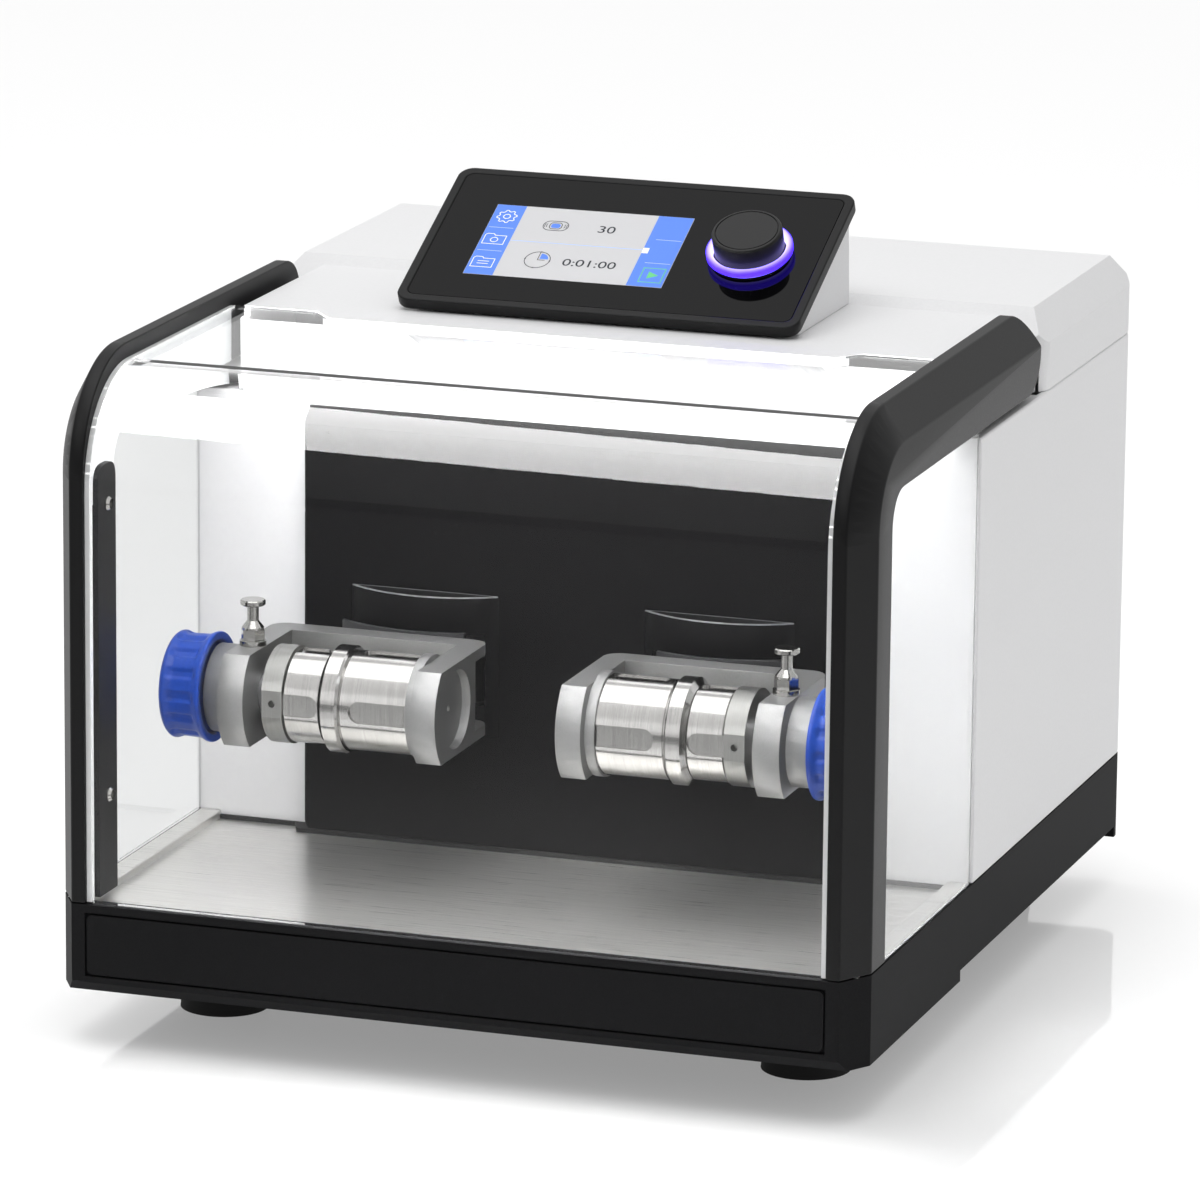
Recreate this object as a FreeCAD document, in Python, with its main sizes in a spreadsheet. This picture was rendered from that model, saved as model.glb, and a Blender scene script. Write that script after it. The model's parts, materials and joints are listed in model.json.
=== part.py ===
import FreeCAD, Part
import math
import os
import Sketcher

# Mixer mill: a bench mill that swings two clamped grinding jars under a clear hood.
# Front is -Y, right is +X, up is +Z, millimetres. The origin lies on the table,
# under the middle of the footprint.

SIZES = (
    # Base
    ("machine_width", 374.0),
    ("machine_depth", 428.0),
    ("corner_inset", 9.5),
    ("corner_run", 16.0),
    ("facet_side_share", 0.6),
    ("facet_run_share", 0.3),
    ("base_underside", 30.0),
    ("skirt_drop", 5.0),
    ("skirt_front_run", 154.0),
    ("skirt_rear_run", 14.0),
    ("base_top", 65.5),
    ("base_wall", 8.0),
    ("base_floor", 4.0),
    ("rear_corner_radius", 12.0),
    ("front_panel_margin_side", 7.0),
    ("front_panel_margin_top", 4.5),
    ("front_panel_margin_bottom", 6.0),
    ("front_panel_thickness", 2.0),
    ("front_panel_groove", 0.8),
    ("front_panel_radius", 3.0),
    # Feet
    ("foot_radius", 20.0),
    ("foot_top_radius", 17.0),
    ("foot_spread", 137.5),
    ("foot_front_setback", 83.0),
    ("foot_rear_setback", 56.0),
    ("foot_screw_radius", 3.0),
    ("foot_screw_head_radius", 5.5),
    ("foot_screw_head_depth", 6.0),
    ("foot_recess_depth", 12.0),
    # Chamber
    ("floor_plate_top", 62.0),
    ("floor_plate_thickness", 1.5),
    ("floor_inset", 13.0),
    ("floor_front_inset", 9.0),
    ("floor_ledge", 8.0),
    ("front_wall_setback", 170.5),
    ("front_wall_thickness", 3.0),
    ("front_wall_top", 294.0),
    ("back_plate_half_width", 129.0),
    ("back_plate_depth", 9.5),
    ("back_plate_top", 264.0),
    ("back_plate_slope_height", 9.0),
    ("back_plate_wall", 2.0),
    ("back_plate_radius", 6.0),
    # Housing
    ("sheet_wall", 3.0),
    ("parting_height", 270.0),
    ("shelf_width", 47.0),
    ("lid_side_top", 292.0),
    ("lid_top", 306.0),
    ("lid_chamfer", 10.0),
    ("lid_setback", 268.5),
    ("lid_bevel_run", 19.0),
    ("lid_bevel_rise", 2.0),
    ("lid_neck_inset", 22.0),
    ("lid_neck_top", 302.0),
    ("seam_gap", 0.3),
    # Hood
    ("hood_arm_width", 16.0),
    ("hood_arm_depth", 36.0),
    ("hood_arm_face", 6.4),
    ("hood_arm_top", 309.0),
    ("hood_bend_radius", 52.0),
    ("hood_foot_gap", 0.5),
    ("hood_window_inset", 2.0),
    ("hood_window_top", 302.0),
    ("hood_window_thickness", 4.0),
    ("hood_window_bend_radius", 50.0),
    ("hood_window_overlap", 7.0),
    ("hood_notch_depth", 12.5),
    ("hood_notch_half_width", 120.0),
    ("hood_notch_taper", 10.0),
    ("side_window_thickness", 3.0),
    ("side_window_inset", 1.0),
    ("side_window_rear_gap", 1.0),
    ("hood_rear_gap", 2.5),
    ("hinge_pin_radius", 4.0),
    ("hinge_pin_reach", 10.0),
    ("running_clearance", 0.05),
    ("hinge_bracket_thickness", 12.0),
    ("hinge_bracket_depth", 26.0),
    ("hood_screw_radius", 3.2),
    ("hood_screw_height", 2.0),
    ("hood_screw_low", 111.0),
    ("hood_screw_high", 243.0),
    ("hood_screw_setback", 22.0),
    # Control panel, in its own tilted frame
    ("panel_width", 191.6),
    ("panel_slope_length", 102.1),
    ("panel_thickness", 5.8),
    ("panel_tilt", 26.0),
    ("panel_centre_x", -2.0),
    ("panel_centre_advance", 30.6),
    ("panel_centre_z", 330.3),
    ("panel_corner_radius", 7.0),
    ("panel_border", 4.5),
    ("panel_glass_thickness", 2.0),
    ("panel_glass_radius", 4.0),
    ("panel_fit", 0.15),
    ("display_width", 95.0),
    ("display_height", 53.2),
    ("display_x", -22.1),
    ("display_rise", -2.0),
    ("pedestal_half_width", 91.0),
    ("pedestal_front_margin", 9.0),
    ("pedestal_rear_margin", 7.0),
    ("pedestal_wall", 2.5),
    ("control_knob_x", 59.4),
    ("control_knob_radius", 16.3),
    ("control_knob_height", 11.2),
    ("control_knob_round", 1.4),
    ("control_knob_soft_share", 0.3),
    ("control_knob_dish_radius", 13.2),
    ("control_knob_dish_depth", 0.6),
    ("light_ring_radius", 19.9),
    ("light_ring_bore", 16.9),
    ("light_ring_height", 4.5),
    ("light_ring_lift", 1.0),
    ("light_ring_round", 1.2),
    ("encoder_hub_radius", 12.0),
    ("encoder_flange_radius", 18.5),
    ("encoder_spigot_height", 0.6),
    ("encoder_depth", 16.0),
    ("encoder_floor", 2.0),
    ("encoder_shaft_radius", 3.0),
    ("control_push_travel", 0.8),
    ("control_push_clearance", 0.4),
    # Swing arms
    ("rocker_pivot_x", 70.0),
    ("rocker_pivot_setback", 39.5),
    ("pivot_shaft_radius", 10.0),
    ("rocker_hub_radius", 20.0),
    ("rocker_hub_height", 50.0),
    ("rocker_neck_x", 76.0),
    ("rocker_neck_width", 32.0),
    ("rocker_neck_height", 28.0),
    ("rocker_tail_width", 16.0),
    ("rocker_tail_thickness", 10.0),
    ("rod_pin_reach", 48.0),
    ("rod_pin_radius", 5.0),
    ("rod_eye_radius", 10.0),
    ("rod_thickness", 8.0),
    ("rod_width", 10.0),
    ("rod_level_step", 12.0),
    ("rod_ring_wall", 6.0),
    ("rod_ring_clearance", 2.6),
    # Slot shrouds and shields
    ("shroud_radius", 60.5),
    ("shroud_wall", 2.0),
    ("shroud_bottom", 115.5),
    ("shroud_top", 181.0),
    ("slot_half_width", 30.0),
    ("slot_height", 33.0),
    ("shield_radius", 69.0),
    ("shield_wall", 2.0),
    ("shield_height", 39.0),
    ("shield_half_width", 30.5),
    # Jar holders and jars
    ("jar_axis_setback", 87.0),
    ("jar_axis_z", 147.0),
    ("holder_inner_x", 28.0),
    ("holder_inner_cheek", 11.7),
    ("holder_gap", 79.0),
    ("holder_outer_cheek", 12.3),
    ("holder_height", 42.0),
    ("holder_nose_radius", 29.0),
    ("holder_back_reach", 44.0),
    ("holder_bridge", 12.0),
    ("holder_corner_radius", 8.0),
    ("holder_boss_radius", 20.0),
    ("holder_boss_length", 10.0),
    ("holder_recess_radius", 17.8),
    ("holder_recess_depth", 4.0),
    ("holder_centre_hole_radius", 1.5),
    ("holder_pocket_depth", 7.0),
    ("holder_pocket_run", 20.0),
    ("holder_flange", 5.0),
    ("seat_ring_radius", 23.5),
    ("seat_ring_height", 4.5),
    ("seat_lip", 1.5),
    ("jar_body_radius", 22.5),
    ("jar_body_length", 33.5),
    ("jar_collar_radius", 24.3),
    ("jar_collar_length", 10.0),
    ("jar_collar_cone", 2.5),
    ("jar_lid_radius", 21.2),
    ("jar_lid_length", 17.0),
    ("jar_groove_width", 1.2),
    ("jar_groove_depth", 1.0),
    ("jar_bore_radius", 16.0),
    ("jar_bottom_thickness", 6.0),
    ("jar_flat_height", 10.0),
    ("jar_flat_depth", 1.3),
    ("jar_chamfer", 1.0),
    # Clamp
    ("pressure_disk_radius", 22.0),
    ("pressure_disk_length", 9.5),
    ("pressure_disk_flat", 12.0),
    ("pressure_disk_hole_radius", 1.6),
    ("pressure_disk_hole_depth", 6.0),
    ("clamp_travel", 3.0),
    ("spindle_radius", 7.0),
    ("spindle_collar_radius", 10.0),
    ("spindle_collar_length", 3.0),
    ("clamp_knob_gap", 0.6),
    ("clamp_knob_radius", 25.0),
    ("clamp_knob_waist_radius", 22.6),
    ("clamp_knob_length", 20.0),
    ("clamp_knob_rim", 4.0),
    ("clamp_knob_cavity_radius", 21.0),
    ("clamp_knob_cavity_depth", 5.0),
    ("clamp_knob_flute_radius", 4.0),
    ("clamp_knob_flute_depth", 1.2),
    ("clamp_knob_flutes", 14),
    # Locking plunger
    ("plunger_flange_radius", 6.0),
    ("plunger_flange_height", 2.2),
    ("plunger_hex_radius", 5.6),
    ("plunger_hex_height", 5.0),
    ("plunger_cone_radius", 5.0),
    ("plunger_cone_height", 4.0),
    ("plunger_neck_radius", 2.6),
    ("plunger_neck_height", 7.0),
    ("plunger_head_radius", 5.7),
    ("plunger_head_height", 2.6),
    ("plunger_pin_radius", 2.0),
    ("plunger_pin_depth", 9.0),
    # Drive
    ("frame_half_width", 100.0),
    ("frame_front_gap", 6.5),
    ("frame_rear_gap", 13.0),
    ("frame_plate", 8.0),
    ("frame_column_setback", 18.0),
    ("frame_column_depth", 12.0),
    ("frame_column_width", 30.0),
    ("frame_yoke_thickness", 12.0),
    ("hub_end_gap", 0.4),
    ("crank_offset", 16.0),
    ("crank_shaft_radius", 8.0),
    ("crank_disc_radius", 13.0),
    ("crank_throw", 2.1),
    ("crank_pulley_radius", 38.0),
    ("pulley_bottom", 60.0),
    ("pulley_height", 18.0),
    ("belt_thickness", 3.0),
    ("belt_gap", 0.3),
    ("motor_rear_gap", 20.0),
    ("motor_crank_gap", 42.0),
    ("motor_pulley_radius", 19.0),
    ("motor_shaft_radius", 6.0),
    ("motor_plate_bottom", 86.0),
    ("motor_plate_half_width", 56.0),
    ("motor_cap_share", 0.6),
    ("motor_height", 118.0),
    ("motor_leg", 6.0),
    ("supply_frame_gap", 14.0),
    ("supply_rear_gap", 24.0),
    ("supply_side_gap", 17.0),
    ("supply_depth", 120.0),
    ("supply_height", 104.0),
    # Rear connections
    ("rear_row_z", 110.0),
    ("inlet_x", -124.0),
    ("inlet_width", 30.0),
    ("inlet_height", 24.0),
    ("inlet_depth", 24.0),
    ("inlet_flange", 5.0),
    ("inlet_cavity_width", 24.4),
    ("inlet_cavity_height", 16.4),
    ("inlet_cavity_depth", 16.0),
    ("inlet_pin_width", 4.0),
    ("inlet_pin_thickness", 2.0),
    ("inlet_pin_pitch", 7.0),
    ("connector_flange", 2.0),
    ("switch_x", -72.0),
    ("switch_width", 22.0),
    ("switch_height", 30.0),
    ("switch_depth", 20.0),
    ("switch_wall", 2.5),
    ("switch_key_reach", 2.5),
    ("switch_key_dip", 0.6),
    ("switch_tilt_clearance", 0.6),
    ("switch_pin_radius", 1.5),
    ("vent_x", 60.0),
    ("vent_z", 180.0),
    ("vent_width", 120.0),
    ("vent_height", 60.0),
    ("vent_thickness", 2.0),
    ("vent_slots", 7),
    ("vent_slot_height", 4.0),
    ("rear_screw_radius", 3.5),
    ("rear_screw_height", 2.2),
    ("rear_screw_inset", 16.0),
)


class Size:
    """A number together with the sheet formula it comes from."""

    def __init__(self, text, value):
        self.text = text
        self.value = value

    def joined(self, sign, other, value):
        return Size("(%s %s %s)" % (self.text, sign, other.text), value)

    def __add__(self, other):
        other = as_size(other)
        return self.joined("+", other, self.value + other.value)

    def __sub__(self, other):
        other = as_size(other)
        return self.joined("-", other, self.value - other.value)

    def __mul__(self, other):
        other = as_size(other)
        return self.joined("*", other, self.value * other.value)

    def __truediv__(self, other):
        other = as_size(other)
        return self.joined("/", other, self.value / other.value)

    def __radd__(self, other):
        return as_size(other) + self

    def __rsub__(self, other):
        return as_size(other) - self

    def __rmul__(self, other):
        return as_size(other) * self

    def __neg__(self):
        return self * -1


def as_size(number):
    if isinstance(number, Size):
        return number
    return Size("(%.9g)" % number, float(number))


def root(size):
    return Size("sqrt(%s)" % size.text, math.sqrt(size.value))


def cosine(degrees):
    return Size("cos(%s)" % degrees.text, math.cos(math.radians(degrees.value)))


def sine(degrees):
    return Size("sin(%s)" % degrees.text, math.sin(math.radians(degrees.value)))


class Sheet:
    """The driving sizes, one spreadsheet row each, read as sheet.name."""

    def __init__(self, document, rows):
        cells = document.addObject("Spreadsheet::Sheet", "Sizes")
        for row, (alias, value) in enumerate(rows, start=1):
            cells.set("A%d" % row, alias)
            cells.set("B%d" % row, str(value))
            cells.setAlias("B%d" % row, alias)
            setattr(self, alias, Size("Sizes." + alias, float(value)))


doc = FreeCAD.newDocument("MixerMill")
sheet = Sheet(doc, SIZES)
doc.recompute()
nodes = []


# Building helpers

def bind(item, path, size):
    item.setExpression(path, as_size(size).text)


def ordered(first, second):
    first = as_size(first)
    second = as_size(second)
    if first.value > second.value:
        return second, first
    return first, second


def node(name, item):
    """Give a finished piece its own label and list it for export."""
    item.Label = name
    nodes.append(item)
    return item


def box(name, span_x, span_y, span_z):
    solid = doc.addObject("Part::Box", name)
    for prop, axis, span in (("Length", "x", span_x), ("Width", "y", span_y), ("Height", "z", span_z)):
        low, high = ordered(span[0], span[1])
        bind(solid, prop, high - low)
        bind(solid, "Placement.Base." + axis, low)
    return solid


def axis_turn(axis):
    """The rotation that lays the local Z axis along a row axis."""
    turns = {
        "X": FreeCAD.Rotation(FreeCAD.Vector(0, 1, 0), 90),
        "Y": FreeCAD.Rotation(FreeCAD.Vector(1, 0, 0), -90),
        "Z": FreeCAD.Rotation(),
    }
    return turns[axis]


def place_along(solid, axis, centre, low):
    solid.Placement = FreeCAD.Placement(FreeCAD.Vector(), axis_turn(axis))
    others = [name for name in "XYZ" if name != axis]
    bind(solid, "Placement.Base." + axis.lower(), low)
    bind(solid, "Placement.Base." + others[0].lower(), centre[0])
    bind(solid, "Placement.Base." + others[1].lower(), centre[1])


def cylinder(name, radius, axis, centre, span):
    solid = doc.addObject("Part::Cylinder", name)
    low, high = ordered(span[0], span[1])
    bind(solid, "Radius", radius)
    bind(solid, "Height", high - low)
    place_along(solid, axis, centre, low)
    return solid


def cone(name, low_radius, high_radius, axis, centre, span):
    solid = doc.addObject("Part::Cone", name)
    bind(solid, "Radius1", low_radius)
    bind(solid, "Radius2", high_radius)
    bind(solid, "Height", as_size(span[1]) - span[0])
    place_along(solid, axis, centre, span[0])
    return solid


def hexagon(name, radius, centre, span):
    solid = doc.addObject("Part::Prism", name)
    solid.Polygon = 6
    bind(solid, "Circumradius", radius)
    bind(solid, "Height", as_size(span[1]) - span[0])
    place_along(solid, "Z", centre, span[0])
    return solid


def cut(name, base, *tools):
    result = doc.addObject("Part::Cut", name)
    result.Base = base
    result.Tool = tools[0] if len(tools) == 1 else fuse(name + "Tools", *tools)
    return result


def fuse(name, *parts):
    result = doc.addObject("Part::MultiFuse", name)
    result.Shapes = list(parts)
    return result


def common(name, *parts):
    result = doc.addObject("Part::MultiCommon", name)
    result.Shapes = list(parts)
    return result


def group(name, *parts):
    result = doc.addObject("Part::Compound", name)
    result.Links = list(parts)
    return result


def outline_sketch(body, name, plane, points):
    """A closed outline whose every corner is tied to the sheet."""
    sketch = body.newObject("Sketcher::SketchObject", name)
    origin_plane = [item for item in body.Origin.OriginFeatures if item.Role == plane + "_Plane"][0]
    sketch.AttachmentSupport = [(origin_plane, "")]
    sketch.MapMode = "FlatFace"
    sizes = [(as_size(across), as_size(along)) for across, along in points]
    corners = [FreeCAD.Vector(across.value, along.value, 0) for across, along in sizes]
    count = len(corners)
    for index in range(count):
        sketch.addGeometry(Part.LineSegment(corners[index], corners[(index + 1) % count]), False)
    for index in range(count):
        sketch.addConstraint(Sketcher.Constraint("Coincident", index, 2, (index + 1) % count, 1))
    for index, (across, along) in enumerate(sizes):
        for kind, size in (("DistanceX", across), ("DistanceY", along)):
            number = sketch.addConstraint(Sketcher.Constraint(kind, -1, 1, index, 1, size.value))
            bind(sketch, "Constraints[%d]" % number, size)
    return sketch


def prism(name, plane, points, span):
    """A padded outline: XY pads along Z, YZ along X and XZ along Y."""
    body = doc.addObject("PartDesign::Body", name)
    sketch = outline_sketch(body, name + "Outline", plane, points)
    low, high = ordered(span[0], span[1])
    start = -high if plane == "XZ" else low
    bind(sketch, "AttachmentOffset.Base.z", start)
    pad = body.newObject("PartDesign::Pad", name + "Pad")
    pad.Profile = sketch
    bind(pad, "Length", high - low)
    sketch.Visibility = False
    doc.recompute()
    return body


def turned(name, axis, points, centre):
    """A turned piece: points are (place along the axis, radius)."""
    body = doc.addObject("PartDesign::Body", name)
    if axis == "X":
        profile, plane, line = points, "XZ", "H_Axis"
    else:
        profile, plane, line = [(radius, along) for along, radius in points], "XZ", "V_Axis"
    sketch = outline_sketch(body, name + "Outline", plane, profile)
    spin = body.newObject("PartDesign::Revolution", name + "Turn")
    spin.Profile = sketch
    spin.ReferenceAxis = (sketch, [line])
    spin.Angle = 360
    others = [letter for letter in "xyz" if letter != axis.lower()]
    bind(body, "Placement.Base." + others[0], centre[0])
    bind(body, "Placement.Base." + others[1], centre[1])
    doc.recompute()
    return body


def edges_along(shape, direction, test):
    """Names of the straight edges that run along a direction and pass a test on their middle."""
    names = []
    for index, edge in enumerate(shape.Edges, start=1):
        if edge.Curve.TypeId != "Part::GeomLine":
            continue
        if abs(edge.Curve.Direction.dot(direction)) > 0.999 and test(edge.CenterOfMass):
            names.append("Edge%d" % index)
    return names


def rounded(body, name, radius, direction, test):
    """Round the chosen straight edges of a body's last feature."""
    last = body.Tip
    fillet = body.newObject("PartDesign::Fillet", name)
    fillet.Base = (last, edges_along(last.Shape, FreeCAD.Vector(*direction), test))
    bind(fillet, "Radius", radius)
    doc.recompute()
    return body


def chamfered(body, name, size, direction, test):
    """Break the chosen straight edges of a body's last feature."""
    last = body.Tip
    chamfer = body.newObject("PartDesign::Chamfer", name)
    chamfer.Base = (last, edges_along(last.Shape, FreeCAD.Vector(*direction), test))
    bind(chamfer, "Size", size)
    doc.recompute()
    return body


ALONG_X = (1, 0, 0)
ALONG_Y = (0, 1, 0)
ALONG_Z = (0, 0, 1)
SIDES = (("left", -1), ("right", 1))


# Places along the depth. The origin is midway between the base's front face and the
# furthest point of the rear fittings.

half_width = sheet.machine_width / 2
floor_half_width = half_width - sheet.floor_inset
lid_neck_half_width = half_width - sheet.lid_neck_inset
inner_half_width = half_width - sheet.sheet_wall
rear_reach = sheet.connector_flange + sheet.switch_key_reach
front_y = -(sheet.machine_depth + rear_reach) / 2
rear_y = front_y + sheet.machine_depth
foot_front_y = front_y + sheet.foot_front_setback
foot_rear_y = rear_y - sheet.foot_rear_setback
front_wall_y = front_y + sheet.front_wall_setback
lid_front_y = front_y + sheet.lid_setback
hood_window_rear_y = front_wall_y + sheet.hood_window_overlap
hinge_y = lid_front_y - sheet.hood_arm_depth / 2 - sheet.hood_rear_gap
hood_screw_y = front_y + sheet.hood_screw_setback
panel_centre_y = lid_front_y - sheet.panel_centre_advance
rocker_pivot_y = front_wall_y + sheet.rocker_pivot_setback
rod_pin_y = rocker_pivot_y + sheet.rod_pin_reach
crank_y = rod_pin_y + sheet.crank_offset
jar_axis_y = front_y + sheet.jar_axis_setback
holder_back_y = jar_axis_y + sheet.holder_back_reach
frame_front_y = front_wall_y + sheet.front_wall_thickness + sheet.frame_front_gap
frame_rear_y = rear_y - sheet.sheet_wall - sheet.frame_rear_gap
frame_column_y = rod_pin_y + sheet.frame_column_setback
motor_radius = (rear_y - sheet.motor_rear_gap - crank_y - sheet.motor_crank_gap) / 2
motor_y = rear_y - sheet.motor_rear_gap - motor_radius
supply_y = rear_y - sheet.supply_rear_gap - sheet.supply_depth


# Base

def base_plan(inset):
    """The base outline seen from above, moved inwards by an inset."""
    side = half_width - inset
    face = half_width - sheet.corner_inset - inset * sheet.facet_side_share
    return [
        (-face, front_y + inset), (face, front_y + inset),
        (side, front_y + sheet.corner_run + inset * sheet.facet_run_share), (side, rear_y - inset),
        (-side, rear_y - inset), (-side, front_y + sheet.corner_run + inset * sheet.facet_run_share),
    ]


def build_base():
    skirt_bottom = sheet.base_underside - sheet.skirt_drop
    shell = prism("BaseBlock", "XY", base_plan(as_size(0)), (skirt_bottom, sheet.base_top))
    rounded(shell, "BaseRearCorners", sheet.rear_corner_radius, ALONG_Z, lambda c: c.y > 0)
    chamfered(shell, "BaseLowerLip", sheet.skirt_drop, ALONG_X,
              lambda c: c.z < skirt_bottom.value + 1 and c.y < 0)
    wall = sheet.base_wall
    underside = box("BaseUnderside", (wall - half_width, half_width - wall),
                    (front_y + wall + sheet.corner_run, rear_y - wall),
                    (skirt_bottom - 1, sheet.base_underside))
    side_relief = box("BaseSideRelief", (-half_width - 1, half_width + 1),
                      (front_y + sheet.skirt_front_run, rear_y - sheet.skirt_rear_run),
                      (skirt_bottom - 1, sheet.base_underside))
    floor_seat = box("BaseFloorSeat", (-floor_half_width, floor_half_width),
                     (front_y + sheet.floor_front_inset, front_wall_y + sheet.front_wall_thickness),
                     (sheet.floor_plate_top - sheet.floor_plate_thickness, sheet.base_top + 1))
    ledge = sheet.floor_ledge
    front_hollow = box("BaseFrontHollow",
                       (ledge - floor_half_width, floor_half_width - ledge),
                       (front_y + sheet.floor_front_inset + ledge, front_wall_y),
                       (sheet.base_underside + sheet.base_floor, sheet.base_top + 1))
    rear_hollow = box("BaseRearHollow", (wall - half_width, half_width - wall),
                      (front_wall_y, rear_y - wall),
                      (sheet.base_underside + sheet.base_floor, sheet.base_top + 1))
    panel_seat = box("BasePanelSeat", *front_panel_spans(sheet.front_panel_groove))
    holes = [
        cylinder("BaseFootHole%d" % number, sheet.foot_screw_radius, "Z", (x, y),
                 (skirt_bottom, sheet.base_underside + sheet.base_floor + 1))
        for number, (x, y) in enumerate(foot_places())
    ]
    tray = cut("BaseTray", shell, underside, side_relief, floor_seat, front_hollow, rear_hollow,
               panel_seat, *holes)
    node("base_tray", tray)


def front_panel_spans(margin):
    """Where the inset panel lies on the base front, grown by a margin."""
    face = half_width - sheet.corner_inset - sheet.front_panel_margin_side + margin
    low = sheet.base_underside + sheet.front_panel_margin_bottom - sheet.skirt_drop / 2
    high = sheet.base_top - sheet.front_panel_margin_top
    return ((-face, face), (front_y, front_y + sheet.front_panel_thickness), (low - margin, high + margin))


def build_front_panel():
    span_x, span_y, span_z = front_panel_spans(as_size(0))
    plate = prism("FrontPanel", "XZ", [(span_x[0], span_z[0]), (span_x[1], span_z[0]),
                                       (span_x[1], span_z[1]), (span_x[0], span_z[1])], span_y)
    rounded(plate, "FrontPanelCorners", sheet.front_panel_radius, ALONG_Y, lambda c: True)
    node("base_front_panel", plate)


def foot_places():
    return [(side * sheet.foot_spread, y) for side in (-1, 1) for y in (foot_front_y, foot_rear_y)]


def build_feet():
    feet = []
    screws = []
    for number, centre in enumerate(foot_places()):
        buffer = cone("FootBuffer%d" % number, sheet.foot_radius, sheet.foot_top_radius, "Z", centre,
                      (0, sheet.base_underside))
        recess = cylinder("FootRecess%d" % number, sheet.foot_screw_head_radius + 1, "Z", centre,
                          (0, sheet.foot_recess_depth))
        hole = cylinder("FootHole%d" % number, sheet.foot_screw_radius, "Z", centre,
                        (0, sheet.base_underside))
        feet.append(cut("Foot%d" % number, buffer, recess, hole))
        head = cylinder("FootScrewHead%d" % number, sheet.foot_screw_head_radius, "Z", centre,
                        (sheet.foot_recess_depth - sheet.foot_screw_head_depth, sheet.foot_recess_depth))
        shank = cylinder("FootScrewShank%d" % number, sheet.foot_screw_radius, "Z", centre,
                         (sheet.foot_recess_depth, sheet.base_underside + sheet.base_floor))
        screws.append(fuse("FootScrew%d" % number, head, shank))
    node("rubber_feet", group("RubberFeet", *feet))
    node("feet_screws", group("FeetScrews", *screws))


# Grinding chamber

def build_floor():
    clearance = sheet.seam_gap / 2
    rear = front_wall_y + sheet.front_wall_thickness
    bottom = sheet.floor_plate_top - sheet.floor_plate_thickness
    front = front_y + sheet.floor_front_inset + clearance
    half = floor_half_width - clearance
    plate = prism("ChamberFloor", "XY", [(-half, front), (half, front), (half, rear), (-half, rear)],
                  (bottom, sheet.floor_plate_top))
    node("chamber_floor", plate)


def slot_opening(name, side, span_y, margin):
    """The way through a wall for one swing arm, as large as its shroud leaves free."""
    centre = side * sheet.rocker_pivot_x
    half = sheet.slot_half_width + margin
    middle = (sheet.shroud_bottom + sheet.shroud_top) / 2
    height = (sheet.shroud_top - sheet.shroud_bottom) / 2 - sheet.shroud_wall
    return box(name, (centre - half, centre + half), span_y, (middle - height, middle + height))


def build_front_wall():
    span_y = (front_wall_y, front_wall_y + sheet.front_wall_thickness)
    half = inner_half_width - sheet.seam_gap
    low = sheet.floor_plate_top
    rim = sheet.base_top
    narrow = floor_half_width - sheet.seam_gap
    neck = lid_neck_half_width - sheet.sheet_wall - sheet.seam_gap
    shelf = sheet.parting_height - sheet.seam_gap
    plate = prism("FrontWallPlate", "XZ", [
        (-narrow, low), (narrow, low), (narrow, rim), (half, rim), (half, shelf), (neck, shelf),
        (neck, sheet.front_wall_top), (-neck, sheet.front_wall_top), (-neck, shelf), (-half, shelf),
        (-half, rim), (-narrow, rim)], span_y)
    cut_span = (span_y[0] - 1, span_y[1] + 1)
    openings = [slot_opening("FrontWallOpening" + name, side, cut_span, as_size(0)) for name, side in SIDES]
    node("front_wall", cut("FrontWall", plate, *openings))


def build_back_plate():
    """A shallow black pan in front of the wall, sloped back along its top."""
    back = front_wall_y
    front = back - sheet.back_plate_depth
    low = sheet.floor_plate_top
    high = sheet.back_plate_top
    wall = sheet.back_plate_wall
    knee = high - sheet.back_plate_slope_height
    half = sheet.back_plate_half_width
    pan = prism("BackPlatePan", "YZ", [(front, low), (back, low), (back, high), (front, knee)], (-half, half))
    rounded(pan, "BackPlateCorners", sheet.back_plate_radius, ALONG_Y, lambda c: c.z < low.value + 1)
    rounded(pan, "BackPlateSideEdges", wall, ALONG_Z, lambda c: c.y < front.value + 0.5)
    hollow = prism("BackPlateHollow", "YZ", [
        (front + wall, low + wall), (back + 1, low + wall), (back + 1, high - wall * 2),
        (front + wall, knee - wall)], (wall - half, half - wall))
    openings = [
        slot_opening("BackPlateOpening" + name, side, (front - 1, back + 1), as_size(0))
        for name, side in SIDES
    ]
    node("chamber_back_plate", cut("BackPlate", pan, hollow, *openings))


def slot_shroud(name, side):
    """A fixed barrel wall round the swing arm's shaft, with a slot for the arm's neck."""
    centre = (side * sheet.rocker_pivot_x, rocker_pivot_y)
    front = front_wall_y - sheet.back_plate_depth
    span = (sheet.shroud_bottom, sheet.shroud_top)
    wall = sheet.shroud_wall
    outer = cylinder("ShroudOuter" + name, sheet.shroud_radius, "Z", centre, span)
    inner = cylinder("ShroudInner" + name, sheet.shroud_radius - wall, "Z", centre,
                     (span[0] + wall, span[1] - wall))
    half = sheet.shroud_radius
    region = box("ShroudRegion" + name, (centre[0] - half, centre[0] + half), (front - half, front), span)
    slot = box("ShroudSlot" + name,
               (centre[0] - sheet.slot_half_width, centre[0] + sheet.slot_half_width),
               (front - half, front),
               (sheet.jar_axis_z - sheet.slot_height / 2, sheet.jar_axis_z + sheet.slot_height / 2))
    return cut("SlotShroud" + name, common("ShroudPart" + name, outer, region), inner, slot)


def build_shrouds():
    node("slot_shrouds", group("SlotShrouds", *[slot_shroud(name, side) for name, side in SIDES]))


# Housing

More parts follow.
